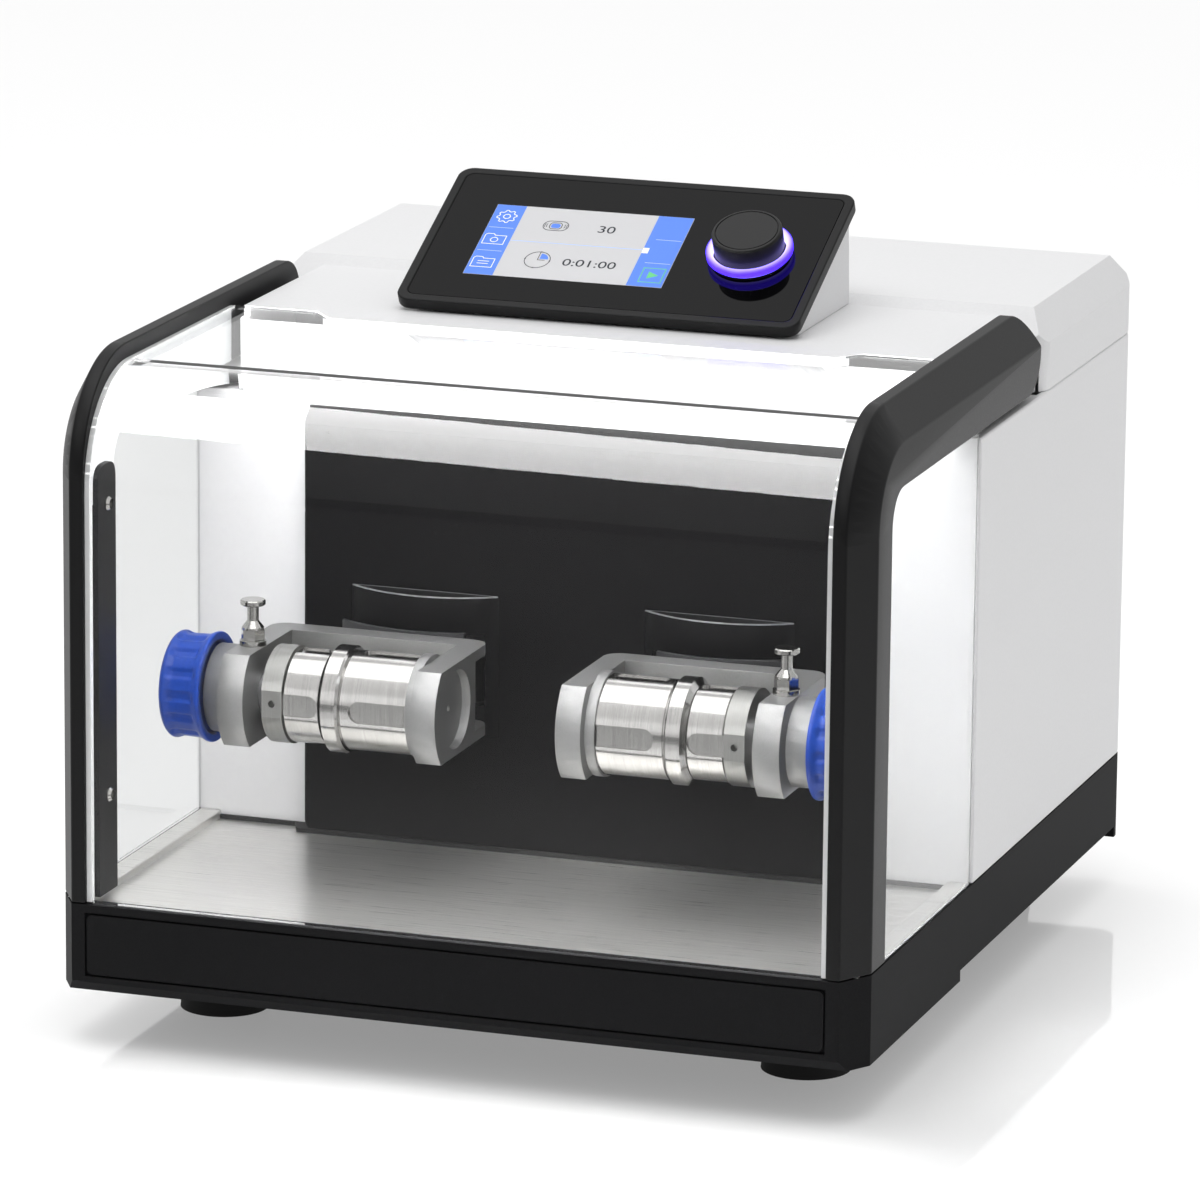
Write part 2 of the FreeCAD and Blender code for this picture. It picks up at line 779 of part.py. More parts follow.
def build_housing():
    """Sides and rear as one wrapped shell, with a shelf beside the lid's neck for the hood hinges."""
    low = sheet.base_top
    high = sheet.parting_height - sheet.seam_gap
    front = front_wall_y
    outer = prism("HousingOuter", "XY", [(-half_width, front), (half_width, front),
                                         (half_width, rear_y), (-half_width, rear_y)], (low, high))
    rounded(outer, "HousingRearCorners", sheet.rear_corner_radius, ALONG_Z, lambda c: c.y > 0)
    inner = prism("HousingInner", "XY", [
        (-inner_half_width, front - 1), (inner_half_width, front - 1),
        (inner_half_width, rear_y - sheet.sheet_wall), (-inner_half_width, rear_y - sheet.sheet_wall)],
        (low - 1, high + 1))
    rounded(inner, "HousingInnerCorners", sheet.rear_corner_radius - sheet.sheet_wall, ALONG_Z,
            lambda c: c.y > 0)
    walls = cut("HousingWalls", outer, inner, *rear_openings())
    shelves = [
        box("HousingShelf" + name, (side * (half_width - sheet.shelf_width), side * (inner_half_width)),
            (front_wall_y + sheet.front_wall_thickness, lid_front_y - sheet.seam_gap),
            (high - sheet.sheet_wall, high))
        for name, side in SIDES
    ]
    node("housing_shell", fuse("HousingShell", walls, *shelves))


def rear_openings():
    span_y = (rear_y - sheet.sheet_wall - 1, rear_y + 1)
    row = sheet.rear_row_z
    inlet = box("InletOpening",
                (sheet.inlet_x - sheet.inlet_width / 2, sheet.inlet_x + sheet.inlet_width / 2),
                span_y, (row - sheet.inlet_height / 2, row + sheet.inlet_height / 2))
    switch = box("SwitchOpening",
                 (sheet.switch_x - sheet.switch_width / 2, sheet.switch_x + sheet.switch_width / 2),
                 span_y, (row - sheet.switch_height / 2, row + sheet.switch_height / 2))
    margin = 2 * sheet.vent_thickness + 3
    vent = box("VentOpening",
               (sheet.vent_x - sheet.vent_width / 2 + margin, sheet.vent_x + sheet.vent_width / 2 - margin),
               span_y,
               (sheet.vent_z - sheet.vent_height / 2 + margin, sheet.vent_z + sheet.vent_height / 2 - margin))
    return inlet, switch, vent


def build_lid():
    """A crowned cap over the rear, with a lower neck that reaches forward between the hood arms."""
    low = sheet.parting_height
    edge = sheet.lid_side_top
    top = sheet.lid_top
    half = half_width
    bevel = sheet.lid_chamfer
    wall = sheet.sheet_wall
    front = lid_front_y
    bevel_end = front + sheet.lid_bevel_run
    bevel_foot = edge + sheet.lid_bevel_rise
    cross = prism("LidCross", "XZ", [(-half, low), (half, low), (half, edge), (half - bevel, top),
                                     (bevel - half, top), (-half, edge)], (front, rear_y))
    rounded(cross, "LidRearCorners", sheet.rear_corner_radius, ALONG_Z, lambda c: c.y > 0)
    profile = prism("LidProfile", "YZ", [(front, low), (rear_y, low), (rear_y, edge), (rear_y - bevel, top),
                                         (bevel_end, top), (front, bevel_foot)], (-half, half))
    cap = common("LidCap", cross, profile)
    neck_front = hood_window_rear_y - sheet.hood_notch_depth + sheet.seam_gap * 3
    notch = sheet.hood_notch_half_width - sheet.seam_gap * 3
    step = hood_window_rear_y + sheet.seam_gap * 3
    taper = sheet.hood_notch_taper
    neck_half = lid_neck_half_width
    neck = prism("LidNeck", "XY", [
        (-neck_half, step), (-notch - taper, step), (-notch, neck_front), (notch, neck_front),
        (notch + taper, step), (neck_half, step), (neck_half, bevel_end), (-neck_half, bevel_end)],
        (sheet.front_wall_top + sheet.seam_gap, sheet.lid_neck_top))
    skirt_front = front_wall_y + sheet.front_wall_thickness + sheet.seam_gap
    skirt = box("LidNeckSkirt", (-neck_half, neck_half), (skirt_front, front + wall),
                (low, sheet.front_wall_top + sheet.seam_gap))
    hollow_cross = prism("LidHollowCross", "XZ", [
        (wall - half, low - 1), (half - wall, low - 1), (half - wall, edge - 1),
        (half - bevel - wall, top - wall), (bevel + wall - half, top - wall), (wall - half, edge - 1)],
        (front + wall, rear_y - wall))
    rounded(hollow_cross, "LidHollowCorners", sheet.rear_corner_radius - wall, ALONG_Z,
            lambda c: c.y > rear_y.value / 2)
    hollow_profile = prism("LidHollowProfile", "YZ", [
        (front + wall, low - 1), (rear_y - wall, low - 1), (rear_y - wall, edge - 1),
        (rear_y - bevel - wall, top - wall), (bevel_end + wall, top - wall),
        (front + wall, bevel_foot - wall)], (-half, half))
    cap_hollow = common("LidCapHollow", hollow_cross, hollow_profile)
    neck_hollow = box("LidNeckHollow", (wall - neck_half, neck_half - wall),
                      (skirt_front - 1, front + 2 * wall), (low - 1, sheet.lid_neck_top - wall))
    pin_holes = cylinder("LidPinHoles", sheet.hinge_pin_radius + sheet.running_clearance, "X",
                         (hinge_y, hinge_z), (-half, half))
    cable_hole = cylinder("LidCableHole", sheet.encoder_hub_radius, "Z",
                          (sheet.panel_centre_x, panel_centre_y),
                          (sheet.lid_neck_top - wall - 1, sheet.lid_neck_top + 1))
    lid = cut("HousingLid", fuse("LidSolid", cap, neck, skirt), cap_hollow, neck_hollow, pin_holes,
              cable_hole)
    node("housing_lid", lid)


# Hood

hinge_z = sheet.hood_arm_top - sheet.hood_arm_depth / 2
arm_inner_x = half_width - sheet.hood_arm_width
arm_rear_y = front_y + sheet.hood_arm_depth


def arm_path(body):
    """Up the front, round the bend and back along the top."""
    sketch = body.newObject("Sketcher::SketchObject", body.Name + "Path")
    plane = [item for item in body.Origin.OriginFeatures if item.Role == "YZ_Plane"][0]
    sketch.AttachmentSupport = [(plane, "")]
    sketch.MapMode = "FlatFace"
    bottom = sheet.base_top + sheet.hood_foot_gap
    radius = sheet.hood_bend_radius
    top = sheet.hood_arm_top
    rear = hinge_y + sheet.hood_arm_depth / 2
    places = [(front_y, bottom), (front_y, top - radius), (front_y + radius, top), (rear, top)]
    spots = [FreeCAD.Vector(across.value, along.value, 0) for across, along in places]
    centre = FreeCAD.Vector((front_y + radius).value, (top - radius).value, 0)
    sketch.addGeometry(Part.LineSegment(spots[0], spots[1]), False)
    bend = Part.Circle(centre, FreeCAD.Vector(0, 0, 1), radius.value)
    sketch.addGeometry(Part.ArcOfCircle(bend, math.pi / 2, math.pi), False)
    sketch.addGeometry(Part.LineSegment(spots[2], spots[3]), False)
    ends = ((0, 1, places[0]), (0, 2, places[1]), (2, 1, places[2]), (2, 2, places[3]))
    sketch.addConstraint(Sketcher.Constraint("Coincident", 1, 2, 0, 2))
    sketch.addConstraint(Sketcher.Constraint("Coincident", 1, 1, 2, 1))
    for line, point, (across, along) in ends:
        for kind, size in (("DistanceX", across), ("DistanceY", along)):
            number = sketch.addConstraint(Sketcher.Constraint(kind, -1, 1, line, point, size.value))
            bind(sketch, "Constraints[%d]" % number, size)
    number = sketch.addConstraint(Sketcher.Constraint("Radius", 1, radius.value))
    bind(sketch, "Constraints[%d]" % number, radius)
    return sketch


def build_hood_arm(name, side):
    """A faceted arm of one section, swept up the front and back over the top."""
    body = doc.addObject("PartDesign::Body", "HoodArmSweep" + name)
    face = arm_inner_x + sheet.hood_arm_face
    section = outline_sketch(body, "HoodArmSection" + name, "XY", [
        (side * arm_inner_x, front_y), (side * face, front_y),
        (side * half_width, front_y + sheet.corner_run), (side * half_width, arm_rear_y),
        (side * arm_inner_x, arm_rear_y)])
    bind(section, "AttachmentOffset.Base.z", sheet.base_top + sheet.hood_foot_gap)
    path = arm_path(body)
    sweep = body.newObject("PartDesign::AdditivePipe", "HoodArmPipe" + name)
    sweep.Profile = section
    sweep.Spine = (path, ["Edge1", "Edge2", "Edge3"])
    doc.recompute()
    span_x = (side * (arm_inner_x - 1), side * (half_width + 1))
    end_block = box("HoodArmEndBlock" + name, span_x,
                    (hinge_y, hinge_y + sheet.hood_arm_depth),
                    (hinge_z - sheet.hood_arm_depth, hinge_z + sheet.hood_arm_depth))
    end_round = cylinder("HoodArmEndRound" + name, sheet.hood_arm_depth / 2, "X",
                         (hinge_y, hinge_z), span_x)
    end_cutter = cut("HoodArmEndCutter" + name, end_block, end_round)
    pin_hole = cylinder("HoodArmPinHole" + name, sheet.hinge_pin_radius + sheet.running_clearance, "X",
                        (hinge_y, hinge_z),
                        (side * (arm_inner_x - 1), side * (arm_inner_x + sheet.hinge_pin_reach)))
    node(name + "_hood_arm", cut("HoodArm" + name, body, end_cutter, pin_hole))


def build_hood_window():
    """The front window, bent back over the top, with a notch that clears the control panel."""
    front = front_y + sheet.hood_window_inset
    thick = sheet.hood_window_thickness
    top = sheet.hood_window_top
    bottom = sheet.base_top + sheet.hood_foot_gap
    rear = hood_window_rear_y
    half = arm_inner_x
    sheet_body = prism("HoodWindowSheet", "YZ", [
        (front, bottom), (front + thick, bottom), (front + thick, top - thick), (rear, top - thick),
        (rear, top), (front, top)], (-half, half))
    rounded(sheet_body, "HoodWindowOuterBend", sheet.hood_window_bend_radius, ALONG_X,
            lambda c: c.z > top.value - 0.5 and c.y < front.value + 0.5)
    rounded(sheet_body, "HoodWindowInnerBend", sheet.hood_window_bend_radius - thick, ALONG_X,
            lambda c: abs(c.z - top.value + thick.value) < 0.5 and abs(c.y - front.value - thick.value) < 0.5)
    notch = sheet.hood_notch_half_width
    taper = sheet.hood_notch_taper
    notch_tool = prism("HoodWindowNotch", "XY", [
        (-notch, rear - sheet.hood_notch_depth), (notch, rear - sheet.hood_notch_depth),
        (notch + taper, rear), (notch + taper, rear + 1), (-notch - taper, rear + 1),
        (-notch - taper, rear)], (top - thick - 1, top + 1))
    node("hood_window", cut("HoodWindow", sheet_body, notch_tool))


def build_side_window(name, side):
    """A flat pane between the arm, the arm's top run and the housing."""
    outer = side * (half_width - sheet.side_window_inset)
    inner = side * (half_width - sheet.side_window_inset - sheet.side_window_thickness)
    bottom = sheet.base_top + sheet.hood_foot_gap
    top = sheet.hood_arm_top - sheet.hood_arm_depth
    rear = front_wall_y - sheet.side_window_rear_gap
    pane = prism("SideWindow" + name, "YZ", [(arm_rear_y, bottom), (rear, bottom), (rear, top),
                                             (arm_rear_y, top)], (outer, inner))
    corner = sheet.hood_bend_radius - sheet.hood_arm_depth
    rounded(pane, "SideWindowCorner" + name, corner, ALONG_X,
            lambda c: c.z > top.value - 0.5 and c.y < arm_rear_y.value + 0.5)
    node(name + "_side_window", pane)


def build_hood_screws():
    screws = []
    for name, side in SIDES:
        for level in (sheet.hood_screw_low, sheet.hood_screw_high):
            label = "HoodScrew%s%d" % (name, len(screws))
            screws.append(cylinder(label, sheet.hood_screw_radius, "X", (hood_screw_y, level),
                                   (side * (arm_inner_x - sheet.hood_screw_height), side * arm_inner_x)))
    node("hood_screws", group("HoodScrews", *screws))


def build_hinges():
    """Brackets on the housing shelf carry the pins that the hood arms turn on."""
    pins = []
    brackets = []
    shelf = sheet.parting_height - sheet.seam_gap
    half_depth = sheet.hinge_bracket_depth / 2
    for name, side in SIDES:
        outer = lid_neck_half_width - sheet.sheet_wall - sheet.seam_gap
        inner = outer - sheet.hinge_bracket_thickness
        span_x = (side * inner, side * outer)
        block = box("HingeBlock" + name, span_x, (hinge_y - half_depth, hinge_y + half_depth),
                    (shelf, hinge_z + sheet.hinge_pin_radius + sheet.sheet_wall))
        bore = cylinder("HingeBore" + name, sheet.hinge_pin_radius, "X", (hinge_y, hinge_z), span_x)
        brackets.append(cut("HingeBracket" + name, block, bore))
        pins.append(cylinder("HingePin" + name, sheet.hinge_pin_radius, "X", (hinge_y, hinge_z),
                             (side * inner, side * (arm_inner_x + sheet.hinge_pin_reach - sheet.seam_gap))))
    node("hinge_brackets", group("HingeBrackets", *brackets))
    node("hinge_pins", group("HingePins", *pins))


# Control panel, drawn flat and then tilted as one

def tilted(item):
    """Lay a flat-drawn panel piece on the sloped panel plane."""
    placed = group(item.Name + "Tilted", item)
    placed.Placement = FreeCAD.Placement(FreeCAD.Vector(), FreeCAD.Rotation(FreeCAD.Vector(1, 0, 0), 1))
    bind(placed, "Placement.Rotation.Angle", sheet.panel_tilt)
    bind(placed, "Placement.Base.x", sheet.panel_centre_x)
    bind(placed, "Placement.Base.y", panel_centre_y)
    bind(placed, "Placement.Base.z", sheet.panel_centre_z)
    return placed


def rounded_plate(name, width, length, span_z, radius):
    plate = prism(name, "XY", [(-width / 2, -length / 2), (width / 2, -length / 2),
                               (width / 2, length / 2), (-width / 2, length / 2)], span_z)
    rounded(plate, name + "Corners", radius, ALONG_Z, lambda c: True)
    return plate


def panel_point(across, up):
    """A point of the panel's own plane, across its thickness, as a row (y, z)."""
    slope = sheet.panel_tilt
    y = panel_centre_y + across * cosine(slope) - up * sine(slope)
    z = sheet.panel_centre_z + across * sine(slope) + up * cosine(slope)
    return y, z


def build_panel():
    thick = sheet.panel_thickness
    glass_thick = sheet.panel_glass_thickness
    bezel_block = rounded_plate("BezelBlock", sheet.panel_width, sheet.panel_slope_length, (-thick, 0),
                                sheet.panel_corner_radius)
    glass_width = sheet.panel_width - 2 * sheet.panel_border
    glass_length = sheet.panel_slope_length - 2 * sheet.panel_border
    glass_seat = rounded_plate("BezelGlassSeat", glass_width, glass_length,
                               (-glass_thick - sheet.seam_gap, as_size(1)), sheet.panel_glass_radius)
    encoder_hole = cylinder("BezelEncoderHole", sheet.encoder_hub_radius, "Z", (sheet.control_knob_x, 0),
                            (-thick - 1, 1))
    cable_hole = box("BezelCableHole", (sheet.display_x - sheet.display_width / 4,
                                        sheet.display_x + sheet.display_width / 4),
                     (-sheet.display_height / 4, sheet.display_height / 4), (-thick - 1, 1))
    bezel = cut("PanelBezel", bezel_block, glass_seat, encoder_hole, cable_hole)
    node("panel_bezel", tilted(bezel))

    glass_span = (-glass_thick - sheet.seam_gap, -sheet.seam_gap)
    fit = sheet.panel_fit
    pane = rounded_plate("GlassPane", glass_width - 2 * fit, glass_length - 2 * fit, glass_span,
                         sheet.panel_glass_radius - fit)
    window = box("GlassWindow", *display_spans(fit, (glass_span[0] - 1, as_size(1))))
    knob_hole = cylinder("GlassKnobHole", sheet.encoder_hub_radius + fit, "Z", (sheet.control_knob_x, 0),
                         (-thick, 1))
    node("panel_glass", tilted(cut("PanelGlass", pane, window, knob_hole)))

    screen = prism("DisplayScreen", "XY", display_outline(), glass_span)
    node("display_screen", tilted(screen))


def display_outline():
    span_x, span_y = display_spans(as_size(0), None)[:2]
    return [(span_x[0], span_y[0]), (span_x[1], span_y[0]), (span_x[1], span_y[1]), (span_x[0], span_y[1])]


def display_spans(margin, span_z):
    half = sheet.display_width / 2 + margin
    tall = sheet.display_height / 2 + margin
    rise = sheet.display_rise
    return (sheet.display_x - half, sheet.display_x + half), (rise - tall, rise + tall), span_z


def build_control_knob():
    """A flanged hub with a lit ring on it, and a knob on a shaft that turns and pushes in."""
    centre = (sheet.control_knob_x, as_size(0))
    lift = sheet.light_ring_lift
    ring_top = lift + sheet.light_ring_height
    shaft_radius = sheet.encoder_shaft_radius
    clearance = sheet.running_clearance
    spigot_top = lift + sheet.encoder_spigot_height
    hub = cylinder("EncoderHub", sheet.encoder_hub_radius, "Z", centre, (-sheet.encoder_depth, lift))
    flange = cylinder("EncoderFlange", sheet.encoder_flange_radius, "Z", centre, (-sheet.seam_gap, lift))
    spigot = cylinder("EncoderSpigot", sheet.encoder_hub_radius, "Z", centre, (lift, spigot_top))
    bore_floor = sheet.encoder_floor - sheet.encoder_depth
    bore = cylinder("EncoderBore", shaft_radius + clearance, "Z", centre, (bore_floor, spigot_top + 1))
    node("encoder_body", tilted(cut("EncoderBody", fuse("EncoderSolid", hub, flange, spigot), bore)))

    outer = sheet.light_ring_radius
    inner = sheet.light_ring_bore
    soft = sheet.light_ring_round
    ring = turned("LightRing", "Z", [
        (lift, inner), (lift, outer - soft), (lift + soft, outer), (ring_top - soft, outer),
        (ring_top, outer - soft), (ring_top, inner + soft), (ring_top - soft, inner)],
        (sheet.control_knob_x, 0))
    node("knob_light_ring", tilted(ring))

    knob_bottom = spigot_top + sheet.control_push_travel + sheet.control_push_clearance
    knob_top = knob_bottom + sheet.control_knob_height
    socket_top = knob_top - sheet.control_knob_dish_depth - sheet.sheet_wall
    shaft_low = bore_floor + sheet.control_push_travel + clearance
    shaft = cylinder("EncoderShaft", shaft_radius, "Z", centre, (shaft_low, socket_top))
    node("encoder_shaft", tilted(shaft))

    radius = sheet.control_knob_radius
    edge = sheet.control_knob_round
    soft_share = sheet.control_knob_soft_share
    dish = sheet.control_knob_dish_radius
    dish_floor = knob_top - sheet.control_knob_dish_depth
    socket = shaft_radius + clearance
    knob = turned("ControlKnob", "Z", [
        (knob_bottom, socket), (knob_bottom, radius), (knob_top - edge, radius),
        (knob_top - edge * soft_share, radius - edge * soft_share), (knob_top, radius - edge),
        (knob_top, dish + sheet.control_knob_dish_depth), (dish_floor, dish), (dish_floor, 0),
        (socket_top + clearance, 0), (socket_top + clearance, socket)], (sheet.control_knob_x, 0))
    node("control_knob", tilted(knob))


def build_pedestal():
    """A wedge that carries the sloped panel on the lid's neck."""
    front_margin = sheet.pedestal_front_margin
    rear_margin = sheet.pedestal_rear_margin
    half_slope = sheet.panel_slope_length / 2
    under = -sheet.panel_thickness
    front_top = panel_point(front_margin - half_slope, under)
    rear_top = panel_point(half_slope - rear_margin, under)
    floor = sheet.lid_neck_top
    wall = sheet.pedestal_wall
    half = sheet.pedestal_half_width
    rear_foot_y = rear_top[0] + wall
    low_front_y = front_top[0] + wall
    outline = [(low_front_y, floor), (rear_foot_y, floor), rear_top, front_top]
    block = prism("PedestalBlock", "YZ", outline, (-half, half))
    inside_front = panel_point(front_margin - half_slope + wall, under)
    inside_rear = panel_point(half_slope - rear_margin - wall, under)
    hollow = prism("PedestalHollow", "YZ", [
        (inside_front[0] + wall, floor - 1), (inside_rear[0], floor - 1),
        (inside_rear[0], inside_rear[1] + 1), (inside_front[0] + wall, inside_front[1] + 1)],
        (wall - half, half - wall))
    bevel_share = (floor - sheet.lid_side_top - sheet.lid_bevel_rise) / (
        sheet.lid_top - sheet.lid_side_top - sheet.lid_bevel_rise)
    bevel_meet_y = lid_front_y + sheet.lid_bevel_run * bevel_share
    lid_step = prism("PedestalLidStep", "YZ", [
        (bevel_meet_y, floor - 1), (rear_foot_y + 1, floor - 1), (rear_foot_y + 1, sheet.lid_top),
        (lid_front_y + sheet.lid_bevel_run, sheet.lid_top), (bevel_meet_y, floor)], (-half, half))
    node("panel_pedestal", cut("PanelPedestal", block, hollow, lid_step))


# Swing arms, jars and clamps

def jar_centre():
    return jar_axis_y, sheet.jar_axis_z


holder_outer_x = sheet.holder_inner_x + sheet.holder_inner_cheek + sheet.holder_gap + sheet.holder_outer_cheek
gap_inner_x = sheet.holder_inner_x + sheet.holder_inner_cheek
gap_outer_x = gap_inner_x + sheet.holder_gap
jar_seat_x = gap_inner_x + sheet.seat_ring_height - sheet.seat_lip
jar_collar_x = jar_seat_x + sheet.jar_body_length
jar_lid_x = jar_collar_x + sheet.jar_collar_length
jar_end_x = jar_lid_x + sheet.jar_lid_length
disk_outer_x = jar_end_x + sheet.pressure_disk_length
knob_inner_x = holder_outer_x + sheet.holder_boss_length + sheet.clamp_knob_gap
knob_outer_x = knob_inner_x + sheet.clamp_knob_length
holder_top = sheet.jar_axis_z + sheet.holder_height / 2
tail_level = sheet.jar_axis_z - sheet.holder_height / 2 + sheet.rocker_hub_height / 2


def build_jar_holder(name, side):
    """A U-shaped holder: two cheeks with round noses, joined by a bridge behind the jar."""
    axis_y, axis_z = jar_centre()
    half_height = sheet.holder_height / 2
    back = holder_back_y
    block = prism("HolderBlock" + name, "XY", [
        (side * sheet.holder_inner_x, back), (side * holder_outer_x, back),
        (side * holder_outer_x, axis_y - sheet.holder_nose_radius),
        (side * sheet.holder_inner_x, axis_y - sheet.holder_nose_radius)],
        (axis_z - half_height, axis_z + half_height))
    rounded(block, "HolderBackCorners" + name, sheet.holder_corner_radius, ALONG_Z,
            lambda c: c.y > back.value - 0.5)
    nose = cylinder("HolderNose" + name, sheet.holder_nose_radius, "X", (axis_y, axis_z),
                    (side * sheet.holder_inner_x, side * holder_outer_x))
    rear_part = box("HolderRearPart" + name, (side * sheet.holder_inner_x, side * holder_outer_x),
                    (axis_y, back), (axis_z - half_height, axis_z + half_height))
    cheeks = common("HolderCheeks" + name, block, fuse("HolderOutline" + name, nose, rear_part))
    boss = cylinder("HolderBoss" + name, sheet.holder_boss_radius, "X", (axis_y, axis_z),
                    (side * holder_outer_x, side * (holder_outer_x + sheet.holder_boss_length)))
    seat = cylinder("HolderSeatRing" + name, sheet.seat_ring_radius, "X", (axis_y, axis_z),
                    (side * gap_inner_x, side * (gap_inner_x + sheet.seat_ring_height)))
    jar_gap = box("HolderGap" + name, (side * gap_inner_x, side * gap_outer_x),
                  (axis_y - sheet.holder_nose_radius - 1, back - sheet.holder_bridge),
                  (axis_z - half_height - 1, axis_z + half_height + 1))
    seat_bore = cylinder("HolderSeatBore" + name, sheet.jar_body_radius + sheet.running_clearance, "X",
                         (axis_y, axis_z), (side * jar_seat_x, side * (jar_seat_x + sheet.seat_ring_height)))
    recess = cylinder("HolderRecess" + name, sheet.holder_recess_radius, "X", (axis_y, axis_z),
                      (side * (sheet.holder_inner_x - 1),
                        side * (sheet.holder_inner_x + sheet.holder_recess_depth)))
    centre_hole = cylinder("HolderCentreHole" + name, sheet.holder_centre_hole_radius, "X", (axis_y, axis_z),
                           (side * sheet.holder_inner_x,
                            side * (sheet.holder_inner_x + sheet.holder_recess_depth + sheet.sheet_wall)))
    pocket = box("HolderPocket" + name,
                 (side * (sheet.holder_inner_x - 1),
                  side * (sheet.holder_inner_x + sheet.holder_pocket_depth)),
                 (back - sheet.holder_pocket_run, back + 1),
                 (axis_z - half_height + sheet.holder_flange, axis_z + half_height - sheet.holder_flange))
    spindle_bore = cylinder("HolderSpindleBore" + name, sheet.spindle_radius + sheet.running_clearance, "X",
                            (axis_y, axis_z),
                            (side * (gap_outer_x - 1),
                             side * (holder_outer_x + sheet.holder_boss_length + 1)))
    collar_bore = cylinder("HolderCollarBore" + name, sheet.spindle_collar_radius + sheet.seam_gap, "X",
                           (axis_y, axis_z),
                           (side * (gap_outer_x - 1),
                            side * (gap_outer_x + sheet.clamp_travel + sheet.seam_gap)))
    plunger_x = side * (gap_outer_x + sheet.holder_outer_cheek / 2)
    plunger_bore = cylinder("HolderPlungerBore" + name, sheet.plunger_pin_radius + sheet.running_clearance,
                            "Z", (plunger_x, axis_y), (holder_top - sheet.plunger_pin_depth, holder_top + 1))
    body = cut("HolderHollowed" + name, fuse("HolderSolid" + name, cheeks, boss), jar_gap, recess,
               centre_hole, pocket, spindle_bore, collar_bore, plunger_bore)
    cup = cut("HolderSeat" + name, seat, seat_bore)
    node(name + "_jar_holder", fuse("JarHolder" + name, body, cup))


def build_jar(name, side):
    """A turned steel jar: plain body, collar with a cone, groove, and a screw lid."""
    radius = sheet.jar_body_radius
    collar = sheet.jar_collar_radius
    chamfer = sheet.jar_chamfer
    cone_run = sheet.jar_collar_cone
    groove = sheet.jar_groove_width
    deep = radius - sheet.jar_groove_depth
    bore = sheet.jar_bore_radius
    floor = jar_seat_x + sheet.jar_bottom_thickness
    profile = [
        (jar_seat_x, 0), (jar_seat_x, radius - chamfer), (jar_seat_x + chamfer, radius),
        (jar_collar_x - groove, radius), (jar_collar_x - groove, deep), (jar_collar_x, deep),
        (jar_collar_x, collar - chamfer), (jar_collar_x + chamfer, collar), (jar_lid_x - cone_run, collar),
        (jar_lid_x, sheet.jar_lid_radius - chamfer), (jar_lid_x, bore), (floor + bore / 2, bore),
        (floor, bore / 2), (floor, 0)]
    body = turned("JarBodyTurned" + name, "X", [(side * along, around) for along, around in profile],
                  jar_centre())
    body_flats = wrench_flats("JarBodyFlat" + name, side, radius, jar_seat_x - 1,
                              jar_collar_x - sheet.jar_flat_height)
    node(name + "_jar_body", cut("JarBody" + name, body, *body_flats))

    lid_radius = sheet.jar_lid_radius
    spigot = bore - sheet.running_clearance
    lid_profile = [
        (jar_lid_x - cone_run, 0), (jar_lid_x - cone_run, spigot), (jar_lid_x, spigot),
        (jar_lid_x, lid_radius), (jar_end_x - chamfer, lid_radius), (jar_end_x, lid_radius - chamfer),
        (jar_end_x, 0)]
    lid = turned("JarLidTurned" + name, "X", [(side * along, around) for along, around in lid_profile],
                 jar_centre())
    lid_flats = wrench_flats("JarLidFlat" + name, side, lid_radius, jar_end_x + 1,
                             jar_lid_x + sheet.jar_flat_height / 2)
    node(name + "_jar_lid", cut("JarLid" + name, lid, *lid_flats))


def wrench_flats(name, side, radius, open_end, closed_end):
    """Two milled flats, front and top, each with a round end."""
    axis_y, axis_z = jar_centre()
    half = sheet.jar_flat_height / 2
    depth = radius - sheet.jar_flat_depth
    out = radius + 1
    front_slab = box(name + "FrontSlab", (side * open_end, side * closed_end),
                     (axis_y - out, axis_y - depth), (axis_z - half, axis_z + half))
    front_end = cylinder(name + "FrontEnd", half, "Y", (side * closed_end, axis_z),
                         (axis_y - out, axis_y - depth))
    top_slab = box(name + "TopSlab", (side * open_end, side * closed_end),
                   (axis_y - half, axis_y + half), (axis_z + depth, axis_z + out))
    top_end = cylinder(name + "TopEnd", half, "Z", (side * closed_end, axis_y),
                       (axis_z + depth, axis_z + out))
    return front_slab, front_end, top_slab, top_end


